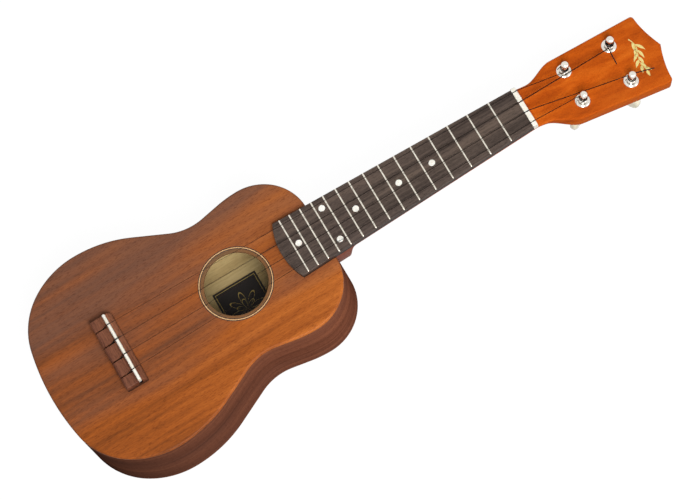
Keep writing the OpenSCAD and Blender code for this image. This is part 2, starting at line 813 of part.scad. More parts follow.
// The post turns in ferrule and collar, and carries the button behind the headstock
stem_z = collar_z - axial_clearance;
button_z = stem_z - stem_length;
button_end_z = button_z - button_height;
shaft_end_z = stem_z - shaft_in_button;
screw_depth = 5;
post_base_z = ferrule_height + axial_clearance;
post_base_height = 0.8;
post_base_radius = 3.5;
tip_radius = post_tip_diameter / 2;
tip_dome = 2.6;
tip_taper = 1;
dome_steps = 5;
tip_base_z = post_height - tip_dome;
waist_radius_post = post_waist_diameter / 2;
string_hole_drop = 2.4;
string_hole_z = tip_base_z - string_hole_drop;
module peg_post(i) {
    color("silver")
        peg_place(i)
            difference() {
                rotate_extrude()
                    polygon(concat(
                        [[0, shaft_end_z], [shaft_radius, shaft_end_z], [shaft_radius, post_base_z],
                         [post_base_radius, post_base_z], [post_base_radius, post_base_z + post_base_height],
                         [waist_radius_post, post_base_z + 2 * post_base_height],
                         [waist_radius_post, tip_base_z - tip_taper], [tip_radius, tip_base_z]],
                        [for (k = [1:dome_steps]) let (a = 90 * k / dome_steps)
                            [tip_radius * cos(a), tip_base_z + tip_dome * sin(a)]]));
                translate([0, 0, shaft_end_z - 1])
                    cylinder(d = screw_diameter + 2 * seat_clearance, h = screw_depth + 1);
                rotate([0, 90, button_turns[i]])
                    translate([-string_hole_z, 0, -post_tip_diameter])
                        cylinder(d = string_hole_diameter, h = 2 * post_tip_diameter);
            }
}
// Angle at which each button stands in the photographed tuning
button_turns = [15, 75, 25, 120];
wing_power = 2.6;
wing_points = 40;
module peg_button(i) {
    color("oldlace")
        peg_place(i)
            difference() {
                union() {
                    translate([0, 0, button_z - 1])
                        cylinder(d = stem_diameter, h = stem_length + 1);
                    rotate([90, 0, button_turns[i]])
                        translate([0, (button_z + button_end_z) / 2, -button_thickness / 2])
                            linear_extrude(button_thickness)
                                polygon(oval(button_width / 2, button_height / 2));
                }
                translate([0, 0, shaft_end_z - seat_clearance])
                    cylinder(d = shaft_diameter + 2 * seat_clearance, h = shaft_in_button + 1);
                translate([0, 0, button_end_z - 1])
                    cylinder(d = screw_diameter + 2 * seat_clearance, h = button_height + stem_length);
            }
}
function bent(s) = sign(s) * pow(abs(s), 2 / wing_power);
function oval(a, b) = [for (k = [0:wing_points - 1]) let (t = 360 * k / wing_points)
    [a * bent(cos(t)), b * bent(sin(t))]];
screw_slot = 0.8;
module peg_screw(i) {
    head_middle = button_end_z - screw_head_height / 2;
    color("silver")
        peg_place(i)
            difference() {
                union() {
                    translate([0, 0, button_end_z - screw_head_height])
                        cylinder(d = screw_head_diameter, h = screw_head_height);
                    translate([0, 0, head_middle])
                        cylinder(d = screw_diameter, h = shaft_end_z + screw_depth - head_middle);
                }
                rotate([0, 0, button_turns[i]])
                    box_between(
                        [-screw_head_diameter, -screw_slot / 2, button_end_z - screw_head_height - 1],
                        [screw_head_diameter, screw_slot / 2, head_middle]);
            }
}

// Strings: from the knot over the saddle's crest and through the nut towards the post
turn_way = [1, 1, -1, -1];
tail_angles = [200, 265, 168, 10];
tail_lengths = [short_tail, long_tail, long_tail, short_tail];
wind_turns = [1, 1, 1, 1];
rings_per_turn = 24;
tail_steps = 3;
wind_sides = 6;
string_sides = 8;
function wind_radius(i) =
    waist_radius_post + seat_clearance + string_diameters[i] / 2 / cos(180 / wind_sides);
function nut_exit(i) = to_head([nut_x(i), head_y, nut_string_z(i)]);
// Angle round the post where the string first touches it
function touch_angle(i) = let (v = [nut_exit(i).x - peg_places[i].x, nut_exit(i).y - peg_places[i].y])
    lean(v) + turn_way[i] * acos(wind_radius(i) / norm(v));
function round_post(i, a, z) = [
    peg_places[i].x + wind_radius(i) * cos(a), peg_places[i].y + wind_radius(i) * sin(a), z];
function touch_point(i) = round_post(i, touch_angle(i), wind_height);
// The straight run stops clear of everything that turns with the winding
function swept_radius(i) =
    norm([wind_radius(i), string_diameters[i]]) + string_diameters[i] / 2 + axial_clearance;
function run_stop(i) = sqrt(pow(swept_radius(i), 2) - pow(wind_radius(i) - string_diameters[i] / 2, 2));
function run_end(i) = touch_point(i) + run_stop(i) * unit(nut_exit(i) - touch_point(i));

// Tangent from the knot to the saddle's crest, then round the crest to its top
function crest_path_radius(i) = crest_radius + seat_clearance + string_diameters[i] / 2;
function knot_lean(i) = let (v = [knot_y - saddle_y, knot_z(i) - crest_z])
    (v.x < 0 && v.y < 0 ? lean(v) + 360 : lean(v)) - acos(crest_path_radius(i) / norm(v));
crest_steps = 4;
function string_path(i) = concat(
    [[saddle_x(i), knot_y, knot_z(i)]],
    [for (k = [0:crest_steps]) let (a = mix(knot_lean(i), 90, k / crest_steps))
        [saddle_x(i), saddle_y + crest_path_radius(i) * cos(a), crest_z + crest_path_radius(i) * sin(a)]],
    [[nut_x(i), nut_y, nut_string_z(i)], [nut_x(i), head_y, nut_string_z(i)]],
    [from_head(run_end(i))]
);
module string_run(i) {
    color("dimgray") {
        tube(string_path(i), string_diameters[i], string_sides, [1, 0, 0]);
        translate([saddle_x(i), knot_y, knot_z(i)])
            sphere(d = knot_diameter, $fn = 24);
    }
}
// Winding: straight for one diameter, up the post in open turns, then a free straight end
function tail_sweep(i) = let (s = (tail_angles[i] - touch_angle(i)) * turn_way[i]) s - 360 * floor(s / 360);
function wind_sweep(i) = tail_sweep(i) + 360 * wind_turns[i];
function wind_pitch(i) = string_diameters[i] + wind_gap;
function wind_steps(i) = ceil(wind_sweep(i) / 360 * rings_per_turn);
function wind_point(i, t) = let (sweep = wind_sweep(i) * t) round_post(
    i, touch_angle(i) + turn_way[i] * sweep, wind_height + wind_pitch(i) * sweep / 360);
function wind_heading(i, a) = turn_way[i] * [-sin(a), cos(a), 0];
function wind_path(i) = concat(
    [touch_point(i) - string_diameters[i] * wind_heading(i, touch_angle(i))],
    [for (k = [0:wind_steps(i)]) wind_point(i, k / wind_steps(i))],
    [for (k = [1:tail_steps])
        wind_point(i, 1) + tail_lengths[i] * k / tail_steps * wind_heading(i, tail_angles[i])]
);
module winding(i) {
    color("dimgray")
        head_frame()
            tube(wind_path(i), string_diameters[i], wind_sides, [0, 0, 1]);
}
// Least open gap of each winding to itself, measured between rings more than half a turn apart
function least_gap(i) = let (p = wind_path(i), skip = rings_per_turn / 2, last = len(p) - 1)
    min([for (a = [0:last - skip], b = [a + skip:last]) norm(p[a] - p[b])]) - string_diameters[i];
echo(least_winding_gap = [for (i = [0:3]) least_gap(i)]);

// Everything is built from the tail and shown about its middle
module placed() {
    translate([0, -total_length / 2, 0])
        children();
}
placed() soundboard();
placed() back_plate();
placed() rib_bass();
placed() rib_treble();
placed() neck_block();
placed() tail_block();
placed() lining_top_bass();
placed() lining_top_treble();
placed() lining_back_bass();
placed() lining_back_treble();
placed() top_brace_upper();
placed() top_brace_lower();
placed() bridge_plate();
placed() back_brace_upper();
placed() back_brace_lower();
placed() rosette_ring();
placed() label();
placed() bridge();
placed() saddle();
placed() neck();
placed() neck_dowel();
placed() fretboard();
placed() frets();
placed() position_dots();
placed() nut();
for (i = [0:3]) {
    placed() peg_ferrule(i);
    placed() peg_collar(i);
    placed() peg_post(i);
    placed() peg_button(i);
    placed() peg_screw(i);
    placed() string_run(i);
    placed() winding(i);
}
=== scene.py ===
# Looks of a soprano ukulele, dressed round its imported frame
import json
import bmesh
import bpy
import numpy as np
from mathutils import Matrix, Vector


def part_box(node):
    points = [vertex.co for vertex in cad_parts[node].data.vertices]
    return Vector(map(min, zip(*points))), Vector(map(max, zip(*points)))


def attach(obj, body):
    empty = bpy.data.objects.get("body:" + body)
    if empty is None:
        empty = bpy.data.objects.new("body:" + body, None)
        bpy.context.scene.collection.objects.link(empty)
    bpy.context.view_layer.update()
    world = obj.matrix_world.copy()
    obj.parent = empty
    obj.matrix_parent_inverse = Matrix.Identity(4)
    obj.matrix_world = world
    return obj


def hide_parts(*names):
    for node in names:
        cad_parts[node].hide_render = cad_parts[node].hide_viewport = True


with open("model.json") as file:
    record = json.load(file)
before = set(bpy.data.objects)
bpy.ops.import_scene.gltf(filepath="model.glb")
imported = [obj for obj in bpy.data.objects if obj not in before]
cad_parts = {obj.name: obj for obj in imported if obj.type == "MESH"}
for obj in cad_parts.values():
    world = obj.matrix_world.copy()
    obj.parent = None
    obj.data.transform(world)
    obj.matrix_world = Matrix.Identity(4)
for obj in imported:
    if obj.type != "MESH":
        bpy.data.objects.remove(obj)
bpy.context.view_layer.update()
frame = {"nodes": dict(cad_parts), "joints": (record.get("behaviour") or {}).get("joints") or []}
print("frame loaded with", len(frame["nodes"]), "nodes")

mm = 0.001  # sizes below are in millimetres, meshes are in metres
mergeReach = 2e-7  # metres between points that become one
cornerShare = 0.45  # most of a side that one eased corner may use
strings = ["g", "c", "e", "a"]


def nodeBox(node):  # lowest and highest corner of a node, y counted from the tail
    low, high = (np.array(corner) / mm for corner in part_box(node))
    return low - (0, tailY, 0), high - (0, tailY, 0)


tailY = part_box("soundboard")[0].y / mm
bodyLow, bodyHigh = nodeBox("soundboard")
topZ = bodyHigh[2]
undersideZ = bodyLow[2]
frontY = bodyHigh[1]
backZ = nodeBox("back_plate")[1][2]
boardZ = nodeBox("fretboard")[1][2]
nutLow, nutHigh = nodeBox("nut")
nutY, headY = nutLow[1], nutHigh[1]
ringLow, ringHigh = nodeBox("rosette_ring")
holeCenter = ((ringLow + ringHigh) / 2)[:2]
rosette = {"width": 2.0, "gap": 2.4, "line": 0.66, "crown": 0.05}
rosetteOuter = (ringHigh[0] - ringLow[0]) / 2
rosetteInner = rosetteOuter - rosette["width"]
holeRadius = rosetteInner - rosette["gap"]


# Small helpers for arrays of points

def unit(v):
    return v / np.linalg.norm(v, axis=-1, keepdims=True)


def ease(t):  # runs smoothly from 0 to 1
    t = np.clip(t, 0, 1)
    return t * t * (3 - 2 * t)


def quarter(count):  # angles from 0 to a quarter turn
    return np.linspace(0, np.pi / 2, count)


def onCircle(angle):
    return np.stack([np.cos(angle), np.sin(angle)], -1)


def roundInset(near, radius):  # inset along a quarter circle as near runs from 0 to 1
    return radius * (1 - np.sqrt(1 - np.clip(near, 0, 1) ** 2))


def mix(a, b, t):
    return a + (b - a) * t


def gridFaces(rows, columns, wrapRows=False):  # four-sided faces between neighbours, round each row
    index = np.arange(rows * columns).reshape(rows, columns)
    index = np.vstack([index, index[:1]]) if wrapRows else index
    index = np.hstack([index, index[:, :1]])
    return np.stack([index[:-1, :-1], index[:-1, 1:], index[1:, 1:], index[1:, :-1]], -1).reshape(-1, 4)


def sweep(rings):  # closed rings (rows, columns, 3); both ends are drawn in to their middle points
    ends = rings[[0, -1]].mean(axis=1, keepdims=True) + np.zeros_like(rings[:2])
    rings = np.concatenate([ends[:1], rings, ends[1:]])
    return rings.reshape(-1, 3), gridFaces(*rings.shape[:2])


def sweepSections(x, y, z):  # closed sections given by their three coordinates
    return sweep(np.stack(np.broadcast_arrays(x, y, z), -1))


def lifted(loop, z):  # flat points at one height
    return np.column_stack([loop, np.full(len(loop), z)])


def easeCorners(corners, reach, steps=4, closed=False):
    # each corner becomes a parabola between two points that lie reach away along its sides
    corners = np.array(corners, float)
    before, after = np.roll(corners, 1, 0) - corners, np.roll(corners, -1, 0) - corners
    lengths = [np.linalg.norm(v, axis=1, keepdims=True) for v in (before, after)]
    reach = np.broadcast_to(np.array(reach, float), len(corners))[:, None]
    start = corners + before / lengths[0] * np.minimum(reach, cornerShare * lengths[0])
    end = corners + after / lengths[1] * np.minimum(reach, cornerShare * lengths[1])
    if not closed:
        start[[0, -1]], end[[0, -1]] = corners[[0, -1]], corners[[0, -1]]
    t = np.linspace(0, 1, steps + 1)[None, :, None]
    curve = (1 - t) ** 2 * start[:, None] + 2 * t * (1 - t) * corners[:, None] + t ** 2 * end[:, None]
    return curve.reshape(-1, 2)


def lathe(profile, around=56):  # profile of (radius, height) turned about the z axis
    profile = np.array(profile, float)
    ring = onCircle(np.linspace(0, 2 * np.pi, around, endpoint=False))
    points = np.concatenate([
        profile[:, None, :1] * ring, np.broadcast_to(profile[:, None, 1:], (len(profile), around, 1))], -1)
    closed = profile[0, 0] > 0 and profile[-1, 0] > 0
    return points.reshape(-1, 3), gridFaces(len(profile), around, wrapRows=closed)


def rod(radius, low, high, around):  # plain cylinder about the z axis
    return lathe([(0, low), (radius, low), (radius, high), (0, high)], around)


def tube(path, radius, sides, reference):
    # a circle carried along the path; its first axis is square to the heading and to reference
    path = np.array(path, float)
    along = unit(np.gradient(path, axis=0))
    across = unit(np.cross(along, reference))
    up = np.cross(across, along)
    angle = np.linspace(0, 2 * np.pi, sides, endpoint=False)[:, None]
    return sweep(path[:, None] + radius * (np.cos(angle) * across[:, None] + np.sin(angle) * up[:, None]))


def placed(shell, move):  # the same shell with its points moved by a function
    return move(shell[0]), shell[1]


def addObject(name, data):
    made = bpy.data.objects.new(name, data)
    bpy.context.scene.collection.objects.link(made)
    return made


def makeMesh(name, shells):
    points = np.concatenate([points for points, faces in shells])
    starts = np.cumsum([0] + [len(points) for points, faces in shells])
    faces = np.concatenate([faces + start for (points, faces), start in zip(shells, starts)])
    mesh = bpy.data.meshes.new(name)
    mesh.from_pydata((points + (0, tailY, 0)) * mm, [], faces)
    shape = bmesh.new()
    shape.from_mesh(mesh)
    bmesh.ops.remove_doubles(shape, verts=shape.verts, dist=mergeReach)
    bmesh.ops.recalc_face_normals(shape, faces=shape.faces)
    shape.to_mesh(mesh)
    shape.free()
    return mesh


def joinSolids(piece, shells, operation):  # cuts shells out of a piece, or joins them to it
    tool = addObject("tool", makeMesh("tool", shells))
    cut = piece.modifiers.new("cut", "BOOLEAN")
    cut.object, cut.operation, cut.solver = tool, operation, "EXACT"
    result = bpy.data.meshes.new_from_object(piece.evaluated_get(bpy.context.evaluated_depsgraph_get()))
    piece.modifiers.clear()
    piece.data = result
    bpy.data.objects.remove(tool)


def smoothPiece(piece, sharp):  # smooth shading, with sharp edges where faces meet at more than that angle
    piece.data.polygons.foreach_set("use_smooth", np.ones(len(piece.data.polygons), bool))
    piece.data.set_sharp_from_angle(angle=np.radians(sharp))


def addPiece(name, shells, material, node=None, body="instrument", sharp=35, cuts=(), joins=(), slot=None):
    piece = addObject(name, makeMesh(name, shells))
    piece.data.materials.append(material)
    if joins:
        joinSolids(piece, joins, "UNION")
    if cuts:
        joinSolids(piece, cuts, "DIFFERENCE")
    smoothPiece(piece, sharp)
    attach(piece, body)
    if node:
        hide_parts(node)
    return piece


# Material helpers

def colour(red, green, blue):  # screen values from 0 to 255, as read off the object
    screen = np.array([red, green, blue]) / 255
    linear = np.where(screen <= 0.04045, screen / 12.92, ((screen + 0.055) / 1.055) ** 2.4)
    return (*linear.tolist(), 1.0)


def newMaterial(name):
    material = bpy.data.materials.new(name)
    material.use_nodes = True
    return material, material.node_tree, material.node_tree.nodes["Principled BSDF"]


def addNode(tree, kind, inputs, **settings):  # an input is a value, or a socket to link
    made = tree.nodes.new("ShaderNode" + kind)
    for key, value in settings.items():
        setattr(made, key, value)
    for key, value in inputs.items():
        if isinstance(value, bpy.types.NodeSocket):
            tree.links.new(value, made.inputs[key])
        else:
            made.inputs[key].default_value = value
    return made


def addMath(tree, operation, first, second=0.0):
    return addNode(tree, "Math", {0: first, 1: second}, operation=operation).outputs[0]


def addVector(tree, operation, first, second=(0, 0, 0)):
    made = addNode(tree, "VectorMath", {0: first, 1: second}, operation=operation)
    return made.outputs["Value" if operation in ("LENGTH", "DOT_PRODUCT") else "Vector"]


def addMix(tree, factor, first, second, blend="MIX"):
    made = addNode(tree, "Mix", {0: factor, 6: first, 7: second}, data_type="RGBA", blend_type=blend)
    return made.outputs[2]


def addRamp(tree, factor, stops):  # stops are (place, colour) or (place, grey)
    ramp = addNode(tree, "ValToRGB", {"Fac": factor})
    elements = ramp.color_ramp.elements
    while len(elements) < len(stops):
        elements.new(0.5)
    for element, (place, value) in zip(elements, stops):
        element.position = place
        element.color = value if isinstance(value, tuple) else (value, value, value, 1)
    return ramp.outputs["Color"]


def objectPlace(tree):
    return addNode(tree, "TexCoord", {}).outputs["Object"]


def addNoise(tree, place, across, along, start=(0, 0, 0), detail=2.0, distortion=0.0):
    # noise drawn out along y: one feature is about across millimetres wide and along millimetres long
    scale = 1 / (np.array([across, along, across]) * mm)
    stretched = addNode(tree, "Mapping", {
        "Vector": place, "Scale": scale, "Location": np.array(start) * scale}).outputs[0]
    return addNode(tree, "TexNoise", {
        "Vector": stretched, "Scale": 1.0, "Detail": detail, "Distortion": distortion}).outputs[0]


def addRange(tree, value, start, stop, first=0.0, last=1.0):  # first value at start, last at stop
    return addNode(tree, "MapRange", {
        "Value": value, "From Min": start * mm, "From Max": stop * mm,
        "To Min": first, "To Max": last}).outputs[0]


def setFinish(tree, shader, tone, polish, spread, roughness):
    # the polish noise moves the roughness by half of spread to either side of its middle value
    tree.links.new(tone, shader.inputs["Base Color"])
    rough = addMath(tree, "ADD", addMath(tree, "MULTIPLY", polish, spread), roughness - spread / 2)
    tree.links.new(rough, shader.inputs["Roughness"])


def setBump(tree, shader, height, strength, distance):
    inputs = {"Height": height, "Strength": strength, "Distance": distance * mm}
    tree.links.new(addNode(tree, "Bump", inputs).outputs[0], shader.inputs["Normal"])


# Woods: broad ribbons, narrow streaks, fibres and open pores along the grain

def tones(*screen):
    return dict(zip(("dark", "middle", "light", "dull"), (colour(*tone) for tone in screen)))


# the top's two slopes are painted light: shade darker towards the tail, and a greyish reflection towards
# bass side and tail
topWood = {
    **tones((119, 62, 24), (162, 85, 31), (191, 107, 43), (98, 75, 65)),
    "dullShare": 0.7, "paintedReflectionSlope": (3.6, 0.1), "paintedShadeSlope": 0.58,
    "ribbon": (26, 420, (0.155, 0.383, 2.539)), "streak": (4.5, 170, (0.354, 0.039, 0.844)),
    "cloud": (30, 190, (1.427, 2.511, 2.539)), "fibre": (0.6, 11), "pore": (0.36, 3.2),
    "poreShade": 0.42, "roughness": 0.48, "shine": 0.14, "bump": 0.1}
plainWood = {
    **topWood, "paintedReflectionSlope": (0, 0), "paintedShadeSlope": 0, "ribbon": (26, 420), "streak": (4.5, 170),
    "cloud": (30, 190)}
sideWood = {
    **plainWood, **tones((106, 62, 45), (140, 84, 62), (164, 101, 72), (106, 74, 65)),
    "dullShare": 0.35, "ribbon": (16, 260), "shine": 0.0}
backWood = {**sideWood, "light": colour(172, 104, 70), "shine": 0.06}
neckWood = {
    **plainWood, **tones((170, 72, 16), (202, 91, 20), (220, 111, 30), (166, 76, 26)),
    "dullShare": 0.4, "ribbon": (12, 260), "poreShade": 0.3, "shine": 0.02}
boardWood = {
    **plainWood, **tones((58, 48, 42), (87, 74, 66), (107, 91, 80), (74, 62, 60)),
    "dullShare": 0.4, "ribbon": (7, 120), "streak": (1.3, 60), "poreShade": 0.5, "roughness": 0.5,
    "shine": 0.15}
bridgeWood = {
    **boardWood, **tones((90, 51, 35), (124, 77, 55), (148, 95, 68), (116, 72, 58)), "ribbon": (9, 120)}
bareWood = {
    **plainWood, **tones((168, 140, 91), (203, 178, 124), (218, 196, 147), (188, 165, 115)),
    "dullShare": 0.2, "poreShade": 0.2, "roughness": 0.75}
braceWood = {**bareWood, "middle": colour(206, 182, 134), "light": colour(222, 202, 158)}
# painted shade: the heel, tail and edge tones below darken the neck, ribs, fretboard and bridge
heelPaintedShade = {"tone": colour(120, 74, 63), "share": 0.88}
tailPaintedShade = {"tone": colour(50, 40, 36), "share": 0.52, "reach": 230}
edgePaintedShade = {"tone": colour(16, 11, 9), "share": 1.0, "boardDrop": 0.3, "bridgeRise": 5.5}
rimTone = {"tone": colour(100, 88, 62), "share": 0.6}
woodRule = {
    "weights": {"ribbon": 0.5, "streak": 0.34, "fibre": 0.16},
    "details": {"ribbon": 3, "streak": 3, "pore": 1}, "distortions": {"ribbon": 0.5},
    "slopeMiddle": 0.157, "toneStops": (0.36, 0.5, 0.64), "dullStops": (0.42, 0.75),
    "poreStops": (0.54, 0.68), "polishSpread": 0.2, "fibreRise": 0.3, "reliefDepth": 0.2}


def woodMaterial(name, look, turn=(0, 0, 0), followSurface=False):
    material, tree, shader = newMaterial(name)
    if followSurface:
        place = addNode(tree, "Attribute", {}, attribute_name="grain").outputs["Vector"]
    else:
        place = objectPlace(tree)
    rule = woodRule
    grain = addNode(tree, "Mapping", {"Vector": place, "Rotation": np.radians(turn)}).outputs[0]
    noise = {
        layer: addNoise(tree, grain, *look[layer], detail=rule["details"].get(layer, 2),
                        distortion=rule["distortions"].get(layer, 0))
        for layer in ("ribbon", "streak", "fibre", "pore", "cloud")}
    # a weighted sum of three layers, with painted shade where there is a slope: darker towards the tail,
    # lighter towards the neck
    along = addNode(tree, "SeparateXYZ", {"Vector": place}).outputs["Y"]
    blend = addMath(tree, "MULTIPLY", addMath(tree, "ADD", along, rule["slopeMiddle"]), look["paintedShadeSlope"])
    for layer, weight in rule["weights"].items():
        blend = addMath(tree, "ADD", blend, addMath(tree, "MULTIPLY", noise[layer], weight))
    wood = addRamp(tree, blend, list(zip(rule["toneStops"], (look["dark"], look["middle"], look["light"]))))
    # the dull tone lies in cloudy patches; a slope adds more towards bass side and tail, a painted greyish
    # reflection
    slope = addVector(tree, "DOT_PRODUCT", place, (*look["paintedReflectionSlope"], 0))
    shifted = addMath(tree, "SUBTRACT", noise["cloud"], slope)
    patch = addRamp(tree, shifted, list(zip(rule["dullStops"], (0.0, look["dullShare"]))))
    wood = addMix(tree, patch, wood, look["dull"])
    hollow = addRamp(tree, noise["pore"], list(zip(rule["poreStops"], (0.0, 1.0))))
    shade = addMath(tree, "MULTIPLY", hollow, look["poreShade"])
    wood = addMix(tree, shade, wood, look["dark"], "MULTIPLY")
    setFinish(tree, shader, wood, noise["fibre"], rule["polishSpread"], look["roughness"])
    rise = addMath(tree, "MULTIPLY", noise["fibre"], rule["fibreRise"])
    setBump(tree, shader, addMath(tree, "SUBTRACT", rise, hollow), look["bump"], rule["reliefDepth"])
    shader.inputs["Specular IOR Level"].default_value = look["shine"]
    return material


def shadeTone(material, share, tone):  # part of a material's colour goes over to another tone
    tree = material.node_tree
    target = tree.nodes["Principled BSDF"].inputs["Base Color"]
    tree.links.new(addMix(tree, share, target.links[0].from_socket, tone), target)


def alongAxis(tree, axis, start, stop, first, last):  # from first to last value along an axis
    along = addNode(tree, "SeparateXYZ", {"Vector": objectPlace(tree)}).outputs[axis]
    offset = tailY if axis == "Y" else 0
    return addRange(tree, along, start + offset, stop + offset, first, last)


# painted shade: a darker tone, full at one place and gone at the next
def shadeAlong(material, shade, axis, full, none):  # another tone, full at one place and gone at the next
    share = alongAxis(material.node_tree, axis, full, none, shade["share"], 0.0)
    shadeTone(material, share, shade["tone"])


def fromHole(tree):  # distance from the soundhole's axis
    middle = np.array([holeCenter[0], holeCenter[1] + tailY, 0]) * mm
    moved = addVector(tree, "SUBTRACT", objectPlace(tree), middle)
    return addVector(tree, "LENGTH", addVector(tree, "MULTIPLY", moved, (1, 1, 0)))


def dullRim(material):  # the band between soundhole and rosette is duller than the wood outside
    tree = material.node_tree
    share = addRange(tree, fromHole(tree), rosetteInner, rosetteOuter, rimTone["share"], 0.0)
    shadeTone(material, share, rimTone["tone"])


mahoganyTop = woodMaterial("mahoganyTop", topWood)
dullRim(mahoganyTop)
mahoganySide = woodMaterial("mahoganySide", sideWood, followSurface=True)
# painted shade: the ribs darken towards the tail
shadeAlong(mahoganySide, tailPaintedShade, "Y", 0, tailPaintedShade["reach"])
mahoganyBack = woodMaterial("mahoganyBack", backWood)
mahoganyNeck = woodMaterial("mahoganyNeck", neckWood)
# painted shade: the neck darkens from the nut down to the heel
shadeAlong(mahoganyNeck, heelPaintedShade, "Y", frontY, nutY)
rosewoodBoard = woodMaterial("rosewoodBoard", boardWood)
# painted shade: the fretboard's sides darken below its top face
shadeAlong(rosewoodBoard, edgePaintedShade, "Z", topZ, boardZ - edgePaintedShade["boardDrop"])
rosewoodBridge = woodMaterial("rosewoodBridge", bridgeWood, turn=(0, 0, 90))
# painted shade: the bridge darkens towards its foot, a painted contact shadow
shadeAlong(rosewoodBridge, edgePaintedShade, "Z", topZ, topZ + edgePaintedShade["bridgeRise"])
bareBack = woodMaterial("bareBack", bareWood)
bareBrace = woodMaterial("bareBrace", braceWood, turn=(0, 0, 90))
bareLining = woodMaterial("bareLining", braceWood)


# Plain finishes: two tones in clouds, and a finer noise for polish and relief where there is one

white = {
    "cloud": (4, 9), "cloudDetail": 4, "fine": (0.35, 0.9), "fineDetail": 2, "stops": (0.35, 0.75),
    "polishSpread": 0.12, "bump": (0.05, 0.05)}
waxy = {"Subsurface Weight": 0.05, "Subsurface Radius": (0.002, 0.0015, 0.001)}
bone = {
    **white, "tones": (colour(248, 245, 234), colour(236, 228, 208)), "roughness": 0.32, "sockets": waxy}
dot = {
    **white, "tones": (colour(254, 252, 244), colour(238, 234, 222)), "roughness": 0.25,
    "sockets": {**waxy, "Coat Weight": 0.3}}
cream = {
    **white, "tones": (colour(244, 236, 212), colour(228, 216, 182)), "roughness": 0.24,
    "sockets": {**waxy, "Coat Weight": 0.4}}
metal = {
    "cloud": (1.5, 1.5), "cloudDetail": 4, "fineDetail": 3, "stops": (0.4, 0.8), "polishSpread": 0.14,
    "bump": (0.03, 0.03), "sockets": {"Metallic": 1.0}}
polished = {
    **metal, "tones": (colour(236, 232, 222), colour(206, 200, 188)), "fine": (0.072, 1.5),
    "roughness": 0.09}
rubbed = {
    **metal, "tones": (colour(240, 234, 220), colour(214, 206, 190)), "fine": (0.144, 3),
    "roughness": 0.24}
nylon = {"cloud": (1.2, 14), "cloudDetail": 3, "stops": (0.4, 0.75), "polishSpread": 0.2, "roughness": 0.45}
runNylon = {
    **nylon, "tones": (colour(24, 16, 12), colour(40, 28, 20)), "sockets": {"Specular IOR Level": 0.1},
    "cover": [(0.035, 0.85), (0.05, 0.27), (0.36, 0.27), (0.4, 0.45), (0.98, 0.45), (0.99, 0.65)]}
postNylon = {
    **nylon, "tones": (colour(13, 10, 9), colour(26, 19, 16)), "sockets": {"Specular IOR Level": 0.2}}


def plainMaterial(name, look):
    material, tree, shader = newMaterial(name)
    place = objectPlace(tree)
    cloud = fine = addNoise(tree, place, *look["cloud"], detail=look["cloudDetail"])
    if "fine" in look:
        fine = addNoise(tree, place, *look["fine"], detail=look["fineDetail"])
    tone = addRamp(tree, cloud, list(zip(look["stops"], look["tones"])))
    setFinish(tree, shader, tone, fine, look["polishSpread"], look["roughness"])
    if "bump" in look:
        setBump(tree, shader, fine, *look["bump"])
    for socket, value in look.get("sockets", {}).items():
        shader.inputs[socket].default_value = value
    return material


def clearRun(material, cover):  # clearer between saddle and nut, by the share of the way to the headstock
    tree = material.node_tree
    share = alongAxis(tree, "Y", nodeBox("bridge")[0][1], headY, 0.0, 1.0)
    tree.links.new(addRamp(tree, share, cover), tree.nodes["Principled BSDF"].inputs["Alpha"])


boneWhite = plainMaterial("boneWhite", bone)
dotWhite = plainMaterial("dotWhite", dot)
creamButton = plainMaterial("creamButton", cream)
chrome = plainMaterial("chrome", polished)
fretMetal = plainMaterial("fretMetal", rubbed)
clearNylon = plainMaterial("clearNylon", runNylon)
clearRun(clearNylon, runNylon["cover"])
woundNylon = plainMaterial("woundNylon", postNylon)
print("materials made:", len(bpy.data.materials))


# Body outline: tail arc, corner, bout, flank, waist, flank and an elliptic shoulder up to the neck's flat

bodyShape = {
    "waistWidth": 118, "upperWidth": 128.5, "lowerAt": 66.5, "waistAt": 158, "upperAt": 198.5,
    "tailRadius": 200, "boutRadius": 68.5, "boutSweep": 34, "lowerFlank": 103, "waistRadius": 43.5,
    "upperFlank": 93, "flatWidth": 48, "ribThickness": 1.8, "counts": (16, 40, 28, 24, 5, 40, 5, 16, 60, 8)}


def arcPoints(center, radius, start, stop, count):
    circle = onCircle(np.linspace(start, stop, count + 1)[1:])
    return np.array(center) + radius[:, None, None] * circle


def linePoints(start, stop, count):  # points after start, one row for each inset
    share = np.linspace(0, 1, count + 1)[1:, None]
    return mix(start[:, None], stop[:, None], share)


